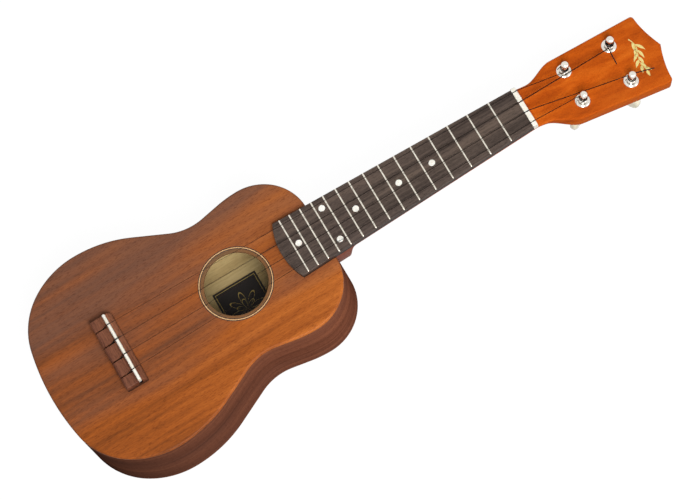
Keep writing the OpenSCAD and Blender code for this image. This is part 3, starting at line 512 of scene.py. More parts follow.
def halfOutline(inset):
    # treble half from the tail to the neck; every arc keeps its centre and loses or gains inset in radius
    s = bodyShape
    inset = np.atleast_1d(np.array(inset, float))
    lower, waist, upper, flat = bodyHigh[0], s["waistWidth"] / 2, s["upperWidth"] / 2, s["flatWidth"] / 2
    tailRadius, sweep = s["tailRadius"], np.radians(s["boutSweep"])
    boutCenter = np.array([lower - s["boutRadius"], s["lowerAt"]])
    way = np.array([np.cos(sweep), -np.sin(sweep)])
    # the corner's arc leaves the bout's along way and runs tangent into the tail's
    join = boutCenter + s["boutRadius"] * way - (0, tailRadius)
    corner = (tailRadius ** 2 - join @ join) / (2 * (tailRadius - join @ way))
    cornerCenter = boutCenter + (s["boutRadius"] - corner) * way
    tailAngle = np.arctan2(cornerCenter[1] - tailRadius, cornerCenter[0])
    lowFlank = np.array([lower - s["lowerFlank"], s["lowerAt"]])
    highFlank = np.array([upper - s["upperFlank"], s["upperAt"]])
    hollow = np.array([waist + s["waistRadius"], s["waistAt"]])
    reach = [s["lowerFlank"] + s["waistRadius"], s["upperFlank"] + s["waistRadius"]]
    leans = [np.arctan2(*(hollow - c)[::-1]) for c in (lowFlank, highFlank)]
    turns = [np.arccos(r / np.linalg.norm(hollow - c)) for r, c in zip(reach, (lowFlank, highFlank))]
    lowLean, highLean = leans[0] - turns[0], leans[1] + turns[1]
    low, high = (onCircle(a) for a in (lowLean, highLean))
    grow = s["waistRadius"] + inset
    lowStart = lowFlank + (s["lowerFlank"] - inset)[:, None] * low
    highStop = highFlank + (s["upperFlank"] - inset)[:, None] * high
    counts = s["counts"]
    angle = quarter(counts[8] + 1)[1:]
    shoulder = np.stack([
        flat + (upper - flat - inset[:, None]) * np.cos(angle),
        s["upperAt"] + (frontY - s["upperAt"] - inset[:, None]) * np.sin(angle)], -1)
    return np.concatenate([
        np.stack([0 * inset, inset], -1)[:, None],
        arcPoints((0, tailRadius), tailRadius - inset, -np.pi / 2, tailAngle, counts[0]),
        arcPoints(cornerCenter, corner - inset, tailAngle, -sweep, counts[1]),
        arcPoints(boutCenter, s["boutRadius"] - inset, -sweep, 0, counts[2]),
        arcPoints(lowFlank, s["lowerFlank"] - inset, 0, lowLean, counts[3]),
        linePoints(lowStart, hollow - grow[:, None] * low, counts[4]),
        arcPoints(hollow, -grow, lowLean, highLean, counts[5]),
        linePoints(hollow - grow[:, None] * high, highStop, counts[6]),
        arcPoints(highFlank, s["upperFlank"] - inset, highLean, 0, counts[7]),
        shoulder,
        linePoints(shoulder[:, -1], np.stack([0 * inset, frontY - inset], -1), counts[9])], axis=1)


def bodyOutline(inset):  # both halves as one closed loop
    half = halfOutline(inset)
    return np.concatenate([half, half[:, -2:0:-1] * (-1, 1)], axis=1)


def atHeight(flat, z):  # (rows, columns, 2) lifted to one height, or to one for each row
    return np.concatenate([flat, np.broadcast_to(np.reshape(z, (-1, 1, 1)), (*flat.shape[:2], 1))], -1)


soundboardShape = {"edge": 1.7, "edgeSteps": 7, "holeEdge": 0.5, "slack": 0.05, "spokes": 14}


def makeSoundboard():
    # rings run from the hole's wall over the rosette's groove to the rounded rim, and back below
    s = soundboardShape
    outer = bodyOutline(s["edge"])[0]
    circle = onCircle(np.arctan2(*(outer - holeCenter).T[::-1]))
    roll = quarter(4)
    inner, groove = rosetteInner - s["slack"], rosetteOuter + s["slack"]
    radii = [holeRadius, *(holeRadius + s["holeEdge"] * (1 - np.cos(roll))), inner, inner, groove, groove]
    heights = [undersideZ, *(topZ - s["holeEdge"] * (1 - np.sin(roll))), topZ, ringLow[2], ringLow[2], topZ]
    rings = atHeight(holeCenter + np.array(radii)[:, None, None] * circle, heights)
    share = np.linspace(0, 1, s["spokes"])[1:, None, None]
    face = atHeight(mix(holeCenter + groove * circle, outer, share), topZ)
    turn = quarter(s["edgeSteps"])[1:]
    rim = atHeight(bodyOutline(s["edge"] * (1 - np.sin(turn))), topZ - s["edge"] * (1 - np.cos(turn)))
    share = np.linspace(1, 0, 6)[:-1, None, None]
    below = atHeight(mix(holeCenter + holeRadius * circle, bodyOutline(0)[0], share), undersideZ)
    rings = np.concatenate([rings, face, rim, below])
    shell = rings.reshape(-1, 3), gridFaces(*rings.shape[:2], wrapRows=True)
    addPiece("soundboard_wood", [shell], mahoganyTop, "soundboard")


backShape = {"edge": 1.4, "edgeSteps": 6, "spokes": 10, "bareFrom": 0.9}


def makeBack():
    # two flat faces fanned out from one middle point each, joined by a rounded rim at the bottom
    s = backShape
    share = np.linspace(0, 1, s["spokes"])[:, None, None]
    above = atHeight(mix(holeCenter, bodyOutline(0)[0], share), backZ)
    turn = quarter(s["edgeSteps"])
    rim = atHeight(bodyOutline(s["edge"] * (1 - np.cos(turn))), s["edge"] * (1 - np.sin(turn)))
    below = atHeight(mix(holeCenter, bodyOutline(s["edge"])[0], share[-2::-1]), 0)
    rings = np.concatenate([above, rim, below])
    shell = rings.reshape(-1, 3), gridFaces(*rings.shape[:2])
    piece = addPiece("back_wood", [shell], mahoganyBack, "back_plate")
    piece.data.materials.append(bareBack)
    normals = np.empty(len(piece.data.polygons) * 3, np.float32)
    piece.data.polygons.foreach_get("normal", normals)
    bare = normals[2::3] > s["bareFrom"]  # the face towards the chamber has no finish
    piece.data.polygons.foreach_set("material_index", bare.astype(np.int32))


def makeRib(name, side):
    # outer and inner wall between the plates, carried along one half of the outline
    walls = halfOutline([0, bodyShape["ribThickness"]])
    outer, inner = walls * (side, 1)
    corners = [(outer, backZ), (outer, undersideZ), (inner, undersideZ), (inner, backZ)]
    rings = np.stack([lifted(wall, z) for wall, z in corners], 1)
    rows = len(rings)
    end = np.arange(4)[None]
    faces = np.vstack([gridFaces(rows, 4), end, end + 4 * (rows - 1)])
    piece = addPiece(name + "_wood", [(rings.reshape(-1, 3), faces)], mahoganySide, name)
    # grain follows the bend: length along the outline as y, height as x
    length = np.concatenate([[0], np.cumsum(np.linalg.norm(np.diff(outer, axis=0), axis=1))])
    grain = np.stack([rings[..., 2], np.repeat(length[:, None] * side, 4, 1), rings[..., 2] * 0], -1) * mm
    layer = piece.data.attributes.new("grain", "FLOAT_VECTOR", "POINT")
    layer.data.foreach_set("vector", grain.astype(np.float32).ravel())


makeSoundboard()
makeBack()
makeRib("rib_treble", 1)
makeRib("rib_bass", -1)
print("body made")


# Rosette: a flat ring let into the soundboard, cream between two dark lines

rosetteLook = {
    "tones": (colour(238, 190, 134), colour(216, 164, 106)), "stops": (0.35, 0.7), "cloud": (1.2, 1.2),
    "cloudDetail": 3, "polishSpread": 0.15, "roughness": 0.355, "dark": colour(44, 28, 20), "blur": 0.04,
    "edge": 0.12}


def rosetteMaterial():
    material = plainMaterial("rosetteLines", rosetteLook)
    tree = material.node_tree
    share = addRange(tree, fromHole(tree), rosetteInner, rosetteOuter)
    line, blur = rosette["line"] / rosette["width"], rosetteLook["blur"]
    edges = addRamp(tree, share, [
        (line - blur, 1.0), (line + blur, 0.0), (1 - line - blur, 0.0), (1 - line + blur, 1.0)])
    shadeTone(material, edges, rosetteLook["dark"])
    return material


def makeRosette():
    middle = (rosetteInner + rosetteOuter) / 2
    profile = easeCorners([
        (rosetteInner, ringLow[2]), (rosetteOuter, ringLow[2]), (rosetteOuter, topZ),
        (middle, topZ + rosette["crown"]), (rosetteInner, topZ)], rosetteLook["edge"], closed=True)
    move = lambda points: points + (*holeCenter, 0)
    addPiece("rosette_inlay", [placed(lathe(profile, 160), move)], rosetteMaterial(), "rosette_ring")


makeRosette()


# Paper label: black with a thin gold frame and two gold rose curves

labelShape = {
    "frame": 1.8, "line": 0.2, "roses": [(14.5, 4, 0.55), (8.5, 3, 0.4)], "corner": 0.6,
    "black": colour(27, 23, 21), "grey": colour(48, 41, 36), "gold": colour(196, 170, 96),
    "paper": (0.5, 0.5), "polishSpread": -0.25, "roughness": 0.495, "bump": 0.1, "reliefDepth": 0.05}
labelLow, labelHigh = nodeBox("label")


def addNear(tree, value, target, reach):  # 1 where the value lies within reach of the target, else 0
    return addNode(tree, "Math", {0: value, 1: target, 2: reach * mm}, operation="COMPARE").outputs[0]


def labelMaterial():
    s = labelShape
    material, tree, shader = newMaterial("labelPaper")
    place = objectPlace(tree)
    middle = (labelLow + labelHigh) / 2 + (0, tailY, 0)
    half = (labelHigh - labelLow) / 2
    moved = addVector(tree, "SUBTRACT", place, middle * mm)
    x, y = addNode(tree, "SeparateXYZ", {"Vector": moved}).outputs[:2]
    # distance in from the nearest edge picks the frame
    inX = addMath(tree, "SUBTRACT", half[0] * mm, addMath(tree, "ABSOLUTE", x))
    inY = addMath(tree, "SUBTRACT", half[1] * mm, addMath(tree, "ABSOLUTE", y))
    gold = addNear(tree, addMath(tree, "MINIMUM", inX, inY), s["frame"] * mm, s["line"])
    # a rose curve lies where the radius is near reach * |cos(order * angle)|
    radius = addVector(tree, "LENGTH", moved)
    angle = addMath(tree, "ARCTAN2", y, x)
    for reach, order, width in s["roses"]:
        wave = addMath(tree, "ABSOLUTE", addMath(tree, "COSINE", addMath(tree, "MULTIPLY", angle, order)))
        line = addNear(tree, radius, addMath(tree, "MULTIPLY", wave, reach * mm), width)
        gold = addMath(tree, "MAXIMUM", gold, line)
    paper = addNoise(tree, place, *s["paper"], detail=3)
    black = addRamp(tree, paper, [(0.3, s["black"]), (0.75, s["grey"])])
    setFinish(tree, shader, addMix(tree, gold, black, s["gold"]), gold, s["polishSpread"], s["roughness"])
    setBump(tree, shader, paper, s["bump"], s["reliefDepth"])
    return material


def makeLabel():  # thin sheet with eased corners
    (left, low), (right, high) = labelLow[:2], labelHigh[:2]
    corners = [(left, low), (right, low), (right, high), (left, high)]
    loop = easeCorners(corners, labelShape["corner"], closed=True)
    rings = np.stack([lifted(loop, z) for z in (labelLow[2], labelHigh[2])])
    addPiece("label_sheet", [sweep(rings)], labelMaterial(), "label")


makeLabel()


# Neck, heel and headstock in one piece: sections flat on top and rounded below

neckShape = {
    "nutWidth": 35, "jointWidth": 46.4, "jointFret": 12, "scale": 345,
    "depthNut": 13.5, "depthHeel": 15.5, "heelRise": 3, "heelLength": 18, "heelBlock": 9.5,
    "headLength": 110, "crown": 7, "corner": 3, "shoulderWidth": 54, "endWidth": 62.6, "flareStart": 8,
    "flareEnd": 35, "thickness": 12, "shaftSide": 0.05, "headSide": 0.82, "shaftPower": 1.5,
    "headPower": 3, "crownSweep": 1.7, "edge": 0.8, "columns": 36, "heelRows": 30, "shaftRows": 8,
    "flareRows": 28, "plateRows": 14, "cornerRows": 12, "bore": 9.1, "boreSpan": (-30, 20),
    "noEdge": 1e-6, "edgeStart": 1, "edgeRun": 6, "bendMargin": 1}
headAxis = np.array(frame["joints"][0]["axis"])
headAngle = np.arctan2(headAxis[1], headAxis[2])


def fretAt(number):
    return nutY - neckShape["scale"] * (1 - 2 ** (-number / 12))


def boardHalf(y):  # half width of neck and fretboard
    s = neckShape
    taper = (s["jointWidth"] - s["nutWidth"]) / 2 / (nutY - fretAt(s["jointFret"]))
    return s["nutWidth"] / 2 + taper * np.maximum(0, nutY - y)


def fromHead(points):  # headstock's own frame: y along its face from the nut, z out of the face
    x, y, z = np.moveaxis(np.asarray(points, float), -1, 0)
    return np.stack([
        x, headY + y * np.cos(headAngle) + z * np.sin(headAngle),
        topZ - y * np.sin(headAngle) + z * np.cos(headAngle)], -1)


def toHead(points):
    x, y, z = np.moveaxis(np.asarray(points, float) - (0, headY, topZ), -1, 0)
    return np.stack([
        x, y * np.cos(headAngle) - z * np.sin(headAngle),
        y * np.sin(headAngle) + z * np.cos(headAngle)], -1)


def neckSections(y, z, tilt, half, depth, side, power, crown, edge, inset):
    # across q = -1 to 1: depth * (side + (1 - side) * (1 - |q|^power)^(1/power)) below the flat face,
    # whose rims are rounded by edge; the middle of an end section is pushed out by crown * (1 - |q|)^sweep
    arrays = np.broadcast_arrays(y, z, tilt, half, depth, side, power, crown, edge, inset)
    y, z, tilt, half, depth, side, power, crown, edge, inset = (np.array(a, float)[:, None] for a in arrays)
    q = np.cos(np.linspace(0, np.pi, neckShape["columns"] + 1))[None]
    away = np.abs(q).clip(0, 1)
    push = crown * (1 - away) ** neckShape["crownSweep"]
    rim = np.maximum(edge - half * (1 - away), 0)
    drop = edge - np.sqrt(np.maximum(edge ** 2 - rim ** 2, 0)) + inset
    below = depth * (side + (1 - side) * (1 - away ** power) ** (1 / power)) - inset
    x = (half - inset) * q
    y, z = y + push * np.cos(tilt), z - push * np.sin(tilt)
    face = np.stack([x, y - drop * np.sin(tilt), z - drop * np.cos(tilt)], -1)
    under = np.stack([x, y - below * np.sin(tilt), z - below * np.cos(tilt)], -1)
    return face, under[:, ::-1]


def headHalf(d):
    s = neckShape
    start, end = s["flareStart"], s["flareEnd"]
    flare = mix(s["nutWidth"], s["shoulderWidth"], ease((d - start) / (end - start)))
    plate = mix(s["shoulderWidth"], s["endWidth"], (d - end) / (s["headLength"] - end))
    return np.where(d < end, flare, plate) / 2 - endRound(d, s["corner"])


def endRound(d, radius):  # inset over the last stretch of the headstock
    return roundInset((d - neckShape["headLength"]) / radius + 1, radius)


def makeNeck():
    s = neckShape
    heelStart, heelEnd = frontY + s["heelBlock"], frontY + s["heelLength"]
    y = np.concatenate([[frontY], np.linspace(heelStart, heelEnd, s["heelRows"]),
                        np.linspace(heelEnd, nutY, s["shaftRows"] + 1)[1:]])
    heel = 1 - ease((y - heelStart) / (heelEnd - heelStart))
    shaft = mix(s["depthNut"], s["depthHeel"], (nutY - np.maximum(y, heelEnd)) / (nutY - heelEnd))
    neck = neckSections(
        y, topZ, 0, boardHalf(y), mix(shaft, topZ - s["heelRise"], heel),
        mix(s["shaftSide"], s["shaftSide"] / 3, heel), s["shaftPower"], 0, s["noEdge"], 0)
    bend = s["depthNut"] * np.tan(headAngle) + s["bendMargin"]
    flare = np.linspace(bend, s["flareEnd"], s["flareRows"])
    plate = np.linspace(s["flareEnd"], s["headLength"] - s["corner"], s["plateRows"] + 1)[1:]
    turn = quarter(s["cornerRows"] + 1)[1:]
    d = np.concatenate([[0], flare, plate, s["headLength"] - s["corner"] * (1 - np.sin(turn))])
    share = np.clip((d - s["flareEnd"]) / (s["headLength"] - s["flareEnd"]), 0, 1)
    blend = ease(d / s["flareEnd"])
    edge = s["edge"] * ease((d - s["edgeStart"]) / s["edgeRun"]) + s["noEdge"]
    tilt = np.where(d > 0, headAngle, headAngle / 2)
    head = neckSections(
        headY + d * np.cos(headAngle), topZ - d * np.sin(headAngle), tilt, headHalf(d),
        mix(s["depthNut"], s["thickness"], blend), mix(s["shaftSide"], s["headSide"], blend),
        mix(s["shaftPower"], s["headPower"], blend), s["crown"] * share, edge, endRound(d, s["edge"]))
    face, under = (np.concatenate(rows) for rows in zip(neck, head))
    rings = np.concatenate([face, under], axis=1)
    rows, columns = rings.shape[:2]
    # both ends are closed by strips between the face's rim and the rim below it
    strip = np.arange(s["columns"])
    strip = np.stack([strip, strip + 1, columns - 2 - strip, columns - 1 - strip], -1)
    faces = np.vstack([gridFaces(rows, columns), strip, strip + (rows - 1) * columns])
    bore = rod(s["bore"] / 2, *s["boreSpan"], 40)
    bores = [placed(bore, lambda points, p=p: fromHead(points + (*p, 0))) for p in pegPlaces]
    addPiece("neck_wood", [(rings.reshape(-1, 3), faces)], mahoganyNeck, "neck", cuts=bores, sharp=30)


pegPlaces = [toHead(np.array(joint["pos_m"]) / mm - (0, tailY, 0))[:2] for joint in frame["joints"]]
makeNeck()


# Ornament on the headstock: a gilt spray of leaves along a wavy stem

sprayShape = {
    "middle": 97, "span": 30, "wave": 2.2, "stem": 0.36, "leaves": 11, "leafLength": 8.5, "leafWidth": 1.15,
    "leafSpan": (0.12, 0.97), "leafTip": 0.02, "leafPower": 0.8, "lean": 40, "curl": 0.22, "raised": 0.06,
    "sunk": 0.15}
giltLook = {  # pale gold leaf, a little uneven in tone and polish
    "tones": (colour(240, 226, 150), colour(216, 190, 104)), "stops": (0.35, 0.7), "cloud": (0.9, 1.4),
    "cloudDetail": 4, "polishSpread": 0.2, "roughness": 0.4, "sockets": {"Metallic": 0.3}}


def ribbon(path, half, low, high):  # flat strip along a path, half its width to either side
    along = unit(np.gradient(path, axis=0))
    across = along[:, ::-1] * (1, -1) * half[:, None]
    edges = [(path + across, low), (path + across, high), (path - across, high), (path - across, low)]
    return sweep(np.stack([lifted(edge, z) for edge, z in edges], 1))


def makeSpray():
    # stem: y = wave * sin(2 pi t); a leaf leaves it at lean, bends back by curl * s^2,
    # and is leafWidth * sin(pi * s^leafPower) wide on each side, plus leafTip
    s = sprayShape
    stemAt = lambda t: np.stack([
        s["span"] * (t - 0.5), s["middle"] + s["wave"] * np.sin(2 * np.pi * t)], -1)
    t = np.linspace(0, 1, 41)
    shells = [ribbon(stemAt(t), s["stem"] * (1.1 - t), -s["sunk"], s["raised"])]
    along = np.linspace(0, 1, 15)[:, None]
    for i, start in enumerate(np.linspace(*s["leafSpan"], s["leaves"])):
        side = 1 if i % 2 else -1
        heading = stemAt(start + 0.01) - stemAt(start - 0.01)
        lean = np.arctan2(heading[1], heading[0]) + side * np.radians(s["lean"])
        way = onCircle(lean)
        square = way[::-1] * (1, -1)
        length = s["leafLength"] * (1.15 - 0.5 * start)
        leaf = stemAt(start) + length * (along * way + side * s["curl"] * along ** 2 * square)
        half = s["leafWidth"] * np.sin(np.pi * along[:, 0] ** s["leafPower"])
        shells.append(ribbon(leaf, half + s["leafTip"], -s["sunk"], s["raised"]))
    shells = [placed(shell, fromHead) for shell in shells]
    addPiece("head_ornament", shells, plainMaterial("giltLeaf", giltLook), slot="rosette_inlay", sharp=50)


makeSpray()
print("neck made")


# Fretboard, frets and dots

fretboardShape = {
    "endMargin": 5.5, "endBulge": 5.6, "edge": 0.5, "slot": 0.35, "slotDepth": 1.85, "step": 0.02}
fretShape = {
    "count": 15, "width": 1.4, "height": 0.7, "tang": 0.6, "tangDepth": 1.8, "inset": 0.4, "bevel": 0.6,
    "domePower": 0.8, "endSize": 0.5}
dotShape = {
    "radius": 2.6, "depth": 1.2, "pair": 28.8, "crown": 0.06, "bevel": 0.3, "rimHeight": 0.04,
    "frets": [(5, 1), (7, 1), (10, 1), (12, 2), (15, 1)]}


def makeFretboard():
    # one section across the board at each place along it; a fret slot is a short dip of the top
    s = fretboardShape
    endY = fretAt(fretShape["count"]) - s["endMargin"]
    half = boardHalf(endY)
    radius = (half ** 2 + s["endBulge"] ** 2) / (2 * s["endBulge"])
    turn = np.linspace(0, np.arcsin(half / radius), 26)
    arcY = endY - s["endBulge"] + radius * (1 - np.cos(turn))
    rows = [np.stack([arcY, radius * np.sin(turn), 0 * turn + boardZ], -1)]
    frets = fretAt(np.arange(fretShape["count"], 0, -1))[:, None]
    dip = np.array([-s["slot"] - s["step"], -s["slot"], s["slot"], s["slot"] + s["step"]])
    y = (frets + dip).ravel()
    top = np.tile([boardZ, boardZ - s["slotDepth"], boardZ - s["slotDepth"], boardZ], len(frets))
    rows += [np.stack([y, boardHalf(y), top], -1), [[nutY, boardHalf(nutY), boardZ]]]
    y, half, top = np.concatenate(rows).T[:, :, None]
    angle = quarter(5)[None]
    edge = np.minimum(s["edge"], half)
    x = half - edge * (1 - np.cos(angle))
    z = top - edge * (1 - np.sin(angle))
    x = np.hstack([half, x, -x[:, ::-1], -half])
    z = np.hstack([0 * half + topZ, z, z[:, ::-1], 0 * half + topZ])
    addPiece("fretboard_wood", [sweepSections(x, y, z)], rosewoodBoard, "fretboard")


def makeFrets():
    # domed crown on a thin tang; towards its ends the crown's width and height follow a quarter circle
    s = fretShape
    dome = np.linspace(0, np.pi, 11)
    crown = np.stack([np.cos(dome) * s["width"] / 2, np.sin(dome) ** s["domePower"] * s["height"]], -1)
    tang = np.array([[-1, 0], [-1, -1], [1, -1], [1, 0]]) * (s["tang"] / 2, s["tangDepth"])
    shells = []
    for number in range(1, s["count"] + 1):
        half = boardHalf(fretAt(number)) - s["inset"]
        away = s["bevel"] * np.sin(quarter(7))
        x = np.unique(np.concatenate([-half + s["bevel"] - away, half - s["bevel"] + away]))
        out = np.clip((np.abs(x) - half + s["bevel"]) / s["bevel"], 0, 1)
        size = mix(s["endSize"], 1, np.sqrt(1 - out ** 2))[:, None, None]
        profile = np.concatenate([crown * size, np.broadcast_to(tang, (len(x), 4, 2))], axis=1)
        rings = np.concatenate([np.broadcast_to(x[:, None, None], (*profile.shape[:2], 1)), profile], -1)
        shells.append(sweep(rings + (0, fretAt(number), boardZ)))
    addPiece("frets_metal", shells, fretMetal, "frets")


def makeDots():
    s = dotShape
    radius, foot = s["radius"], -s["depth"]
    profile = easeCorners([
        (0, foot), (radius, foot), (radius, 0.01), (radius - s["bevel"], s["rimHeight"]),
        (0, s["crown"])], 0.1)
    shells = []
    for number, count in s["frets"]:
        middle = (fretAt(number) + fretAt(number - 1)) / 2
        for x in s["pair"] * (np.arange(count) - (count - 1) / 2):
            shells.append(placed(lathe(profile, 40), lambda points: points + (x, middle, boardZ)))
    addPiece("dots_inlay", shells, dotWhite, "position_dots")


makeFretboard()
makeFrets()
makeDots()
print("fretboard made")


# Nut, saddle and bridge

stringShape = {
    "diameters": np.array([0.65, 0.9, 0.8, 0.65]), "nutSpread": 28, "saddleSpread": 41,
    "nutHeight": 1.3, "knot": 2.6, "sides": 12, "postGap": 1.15}
spacing = np.arange(4) / 3 - 0.5  # places of the strings, as shares of their spread
nutX, saddleX = stringShape["nutSpread"] * spacing, stringShape["saddleSpread"] * spacing
gauge = stringShape["diameters"]
nutStringZ = boardZ + stringShape["nutHeight"] + gauge / 2
saddleLow, saddleHigh = nodeBox("saddle")
saddleY = (saddleLow[1] + saddleHigh[1]) / 2
saddleHalf = (saddleHigh[1] - saddleLow[1]) / 2
bridgeLow, bridgeHigh = nodeBox("bridge")
nutShape = {"edge": 0.7, "fall": 0.9, "slack": 0.05, "step": 0.03, "endRound": 0.8, "endDraw": 0.6}
saddleShape = {"endRound": 1.0, "endDraw": 0.5, "crestSteps": 17}
bridgeShape = {
    "frontHeight": 4.5, "edge": 1.2, "round": 0.45, "kerfFloor": 3.1, "kerfSlack": 0.25,
    "slotDepth": 4, "slotSlack": 0.05, "pocket": 3.6, "pocketDepth": 4.5, "step": 0.03, "endRound": 0.7,
    "endDraw": 0.7}
knotZ = topZ + bridgeShape["kerfFloor"] + bridgeShape["kerfSlack"] + gauge / 2
flushRise = 1.0  # a section's points are lowered near the ends only where they lie this far above the wood
endSteps = 1 - np.cos(quarter(7))  # places near a rounded end, as shares of its reach


def endEase(x, low, high, reach):  # inset of a section near the rounded ends of a bar
    return roundInset(1 - np.minimum(x - low, high - x) / reach, reach)


def notchedBar(low, high, middles, halves, shape):
    # places along x, two beside each wall of every notch and some near the rounded ends;
    # with them whether each lies in a notch, and the inset of its section
    walls = np.concatenate([middles - halves, middles + halves])
    beside, reach = shape["step"] / 2, shape["endRound"]
    places = [walls - beside, walls + beside, low + reach * endSteps, high - reach * endSteps]
    x = np.unique(np.concatenate(places))[:, None]
    return x, (np.abs(x - middles) < halves).any(axis=1, keepdims=True), endEase(x, low, high, reach)


def makeNut():
    # bar whose top falls towards the headstock, notched for each string
    s = nutShape
    x, notch, inset = notchedBar(nutLow[0], nutHigh[0], nutX, gauge / 2 + s["slack"], s)
    top = nutHigh[2]
    corners = [(nutY, topZ), (nutY, top), (headY, top - s["fall"]), (headY, topZ)]
    y, z = easeCorners(corners, [0, s["edge"], s["edge"], 0], 6).T
    z = np.where(notch, np.minimum(z, boardZ + stringShape["nutHeight"] - s["slack"]), z)
    z = np.where(z > topZ + flushRise, z - inset, z)
    y = np.clip(y, nutY + inset * s["endDraw"], headY - inset * s["endDraw"])
    addPiece("nut_bone", [sweepSections(x, y, z)], boneWhite, "nut")


def makeSaddle():  # bar with a half round crest, its ends rounded
    s, half, foot = saddleShape, saddleHalf, saddleLow[2]
    crest = np.linspace(0, np.pi, s["crestSteps"])
    y = np.concatenate([[half], half * np.cos(crest), [-half]])
    z = np.concatenate([[foot], saddleHigh[2] - half + half * np.sin(crest), [foot]])
    ends = s["endRound"] * endSteps
    x = np.concatenate([saddleLow[0] + ends, saddleHigh[0] - ends[::-1]])[:, None]
    inset = endEase(x, saddleLow[0], saddleHigh[0], s["endRound"])
    y = saddleY + y * (1 - inset / half * s["endDraw"])
    z = np.where(z > foot, z - inset, z)
    addPiece("saddle_bone", [sweepSections(x, y, z)], boneWhite, "saddle")


def makeBridge():
    # profile across the bridge, with the saddle's slot; behind the saddle it is lowered in each saw cut
    s = bridgeShape
    back, front, top = bridgeLow[1], bridgeHigh[1], bridgeHigh[2]
    floor, half = top - s["slotDepth"], saddleHalf + s["slotSlack"]
    corners = [
        (back, topZ), (back, top - s["edge"]), (back + s["edge"], top),
        (saddleY - half, top), (saddleY - half, floor), (saddleY + half, floor), (saddleY + half, top),
        (saddleY + saddleHalf + s["edge"], top), (front, topZ + s["frontHeight"]), (front, topZ)]
    y, z = easeCorners(corners, [0, 0.5, 0.5, 0.15, 0, 0, 0.15, 0.6, s["round"], 0], 5).T
    x, kerf, inset = notchedBar(bridgeLow[0], bridgeHigh[0], saddleX, gauge / 2 + s["kerfSlack"], s)
    behind = y < saddleY - half + 0.01
    z = np.where(kerf & behind, np.minimum(z, topZ + s["kerfFloor"]), z)
    z = np.where(z > topZ + flushRise, z - inset, z)
    y = np.clip(y, back + inset * s["endDraw"], front - inset * s["endDraw"])
    pocket = rod(s["pocket"] / 2, 0, s["pocketDepth"] + 1, 32)
    middles = np.stack([saddleX, np.full(4, back - 1), knotZ], -1)
    pockets = [placed(pocket, lambda points, p=p: points[:, [0, 2, 1]] + p) for p in middles]
    addPiece("bridge_wood", [sweepSections(x, y, z)], rosewoodBridge, "bridge", cuts=pockets)


makeNut()
makeSaddle()
makeBridge()
print("nut, saddle and bridge made")


# Tuners: ferrule and collar in the headstock, turning post, button and screw

tunerShape = {
    "bore": 2.55, "barrel": 4.5, "barrelLength": 4.8, "flange": 6.0, "flangeHeight": 1.6, "collar": 5.8,
    "collarHeight": 2.6, "shaft": 2.5, "base": 3.5, "baseHeight": 0.8, "waist": 2.5, "tip": 3.1,
    "tipDome": 2.6, "postHeight": 12.5, "hole": 0.8, "holeReach": 8, "holeDrop": 2.4, "gap": 0.35,
    "shaftInButton": 11}
buttonShape = {
    "turns": [15, 75, 25, 120], "stem": 4.2, "stemLength": 3.6, "width": 22, "height": 16,
    "thickness": 7.4, "outline": 2.6, "edge": 3.2, "dish": 0.14, "dishSize": 2.4, "rows": 33, "columns": 72}
screwShape = {
    "radius": 1.2, "head": 2.5, "headHeight": 1.2, "slot": 0.8, "slotReach": 4, "slotDepth": 0.72,
    "depth": 5, "slack": 0.05}
headBack = -neckShape["thickness"]
stemZ = headBack - tunerShape["collarHeight"] - tunerShape["gap"]
wingTop = stemZ - buttonShape["stemLength"]
wingEnd = wingTop - buttonShape["height"]
shaftEnd = stemZ - tunerShape["shaftInButton"]


def atPeg(i, points, turn=0.0):  # turned about the post, then moved to its place on the headstock
    c, s = np.cos(np.radians(turn)), np.sin(np.radians(turn))
    turned = points @ np.array([[c, s, 0], [-s, c, 0], [0, 0, 1]])
    return fromHead(turned + (*pegPlaces[i], 0))


def addPegPiece(i, piece, shell, material, turned=True, **solids):
    # a turned piece belongs to the peg's body and has its button's turn, others stay with the headstock
    name, turn = strings[i], buttonShape["turns"][i] if turned else 0.0
    move = lambda points: atPeg(i, points, turn)
    moved = {use: [placed(solid, move)] for use, solid in solids.items()}
    body, node = "peg_" + name if turned else "instrument", "peg_" + piece + name
    addPiece(piece + name, [placed(shell, move)], material, node, body, **moved)


def makeFerrules():  # profiles turned about the post's axis, corners eased
    s = tunerShape
    bore, barrel, flange, top = s["bore"], s["barrel"], s["flange"], s["flangeHeight"]
    front = easeCorners([
        (bore, -s["barrelLength"]), (barrel, -s["barrelLength"]), (barrel, 0), (flange, 0), (flange, 0.7),
        (flange - 1.2, top), (bore + 0.5, top), (bore, top - 0.4)],
        [0.1, 0.1, 0, 0.2, 0.5, 0.6, 0.2, 0.2], 5, closed=True)
    inside, outside = headBack + s["barrelLength"], headBack - s["collarHeight"]
    back = easeCorners([
        (bore, inside), (barrel, inside), (barrel, headBack), (s["collar"], headBack),
        (s["collar"], headBack - 0.6), (4.2, outside), (bore, outside)],
        [0.1, 0.1, 0, 0.1, 0.5, 0.5, 0.1], 5, closed=True)
    for i in range(4):
        addPegPiece(i, "ferrule_", lathe(front), chrome, turned=False)
        addPegPiece(i, "collar_", lathe(back), chrome, turned=False)


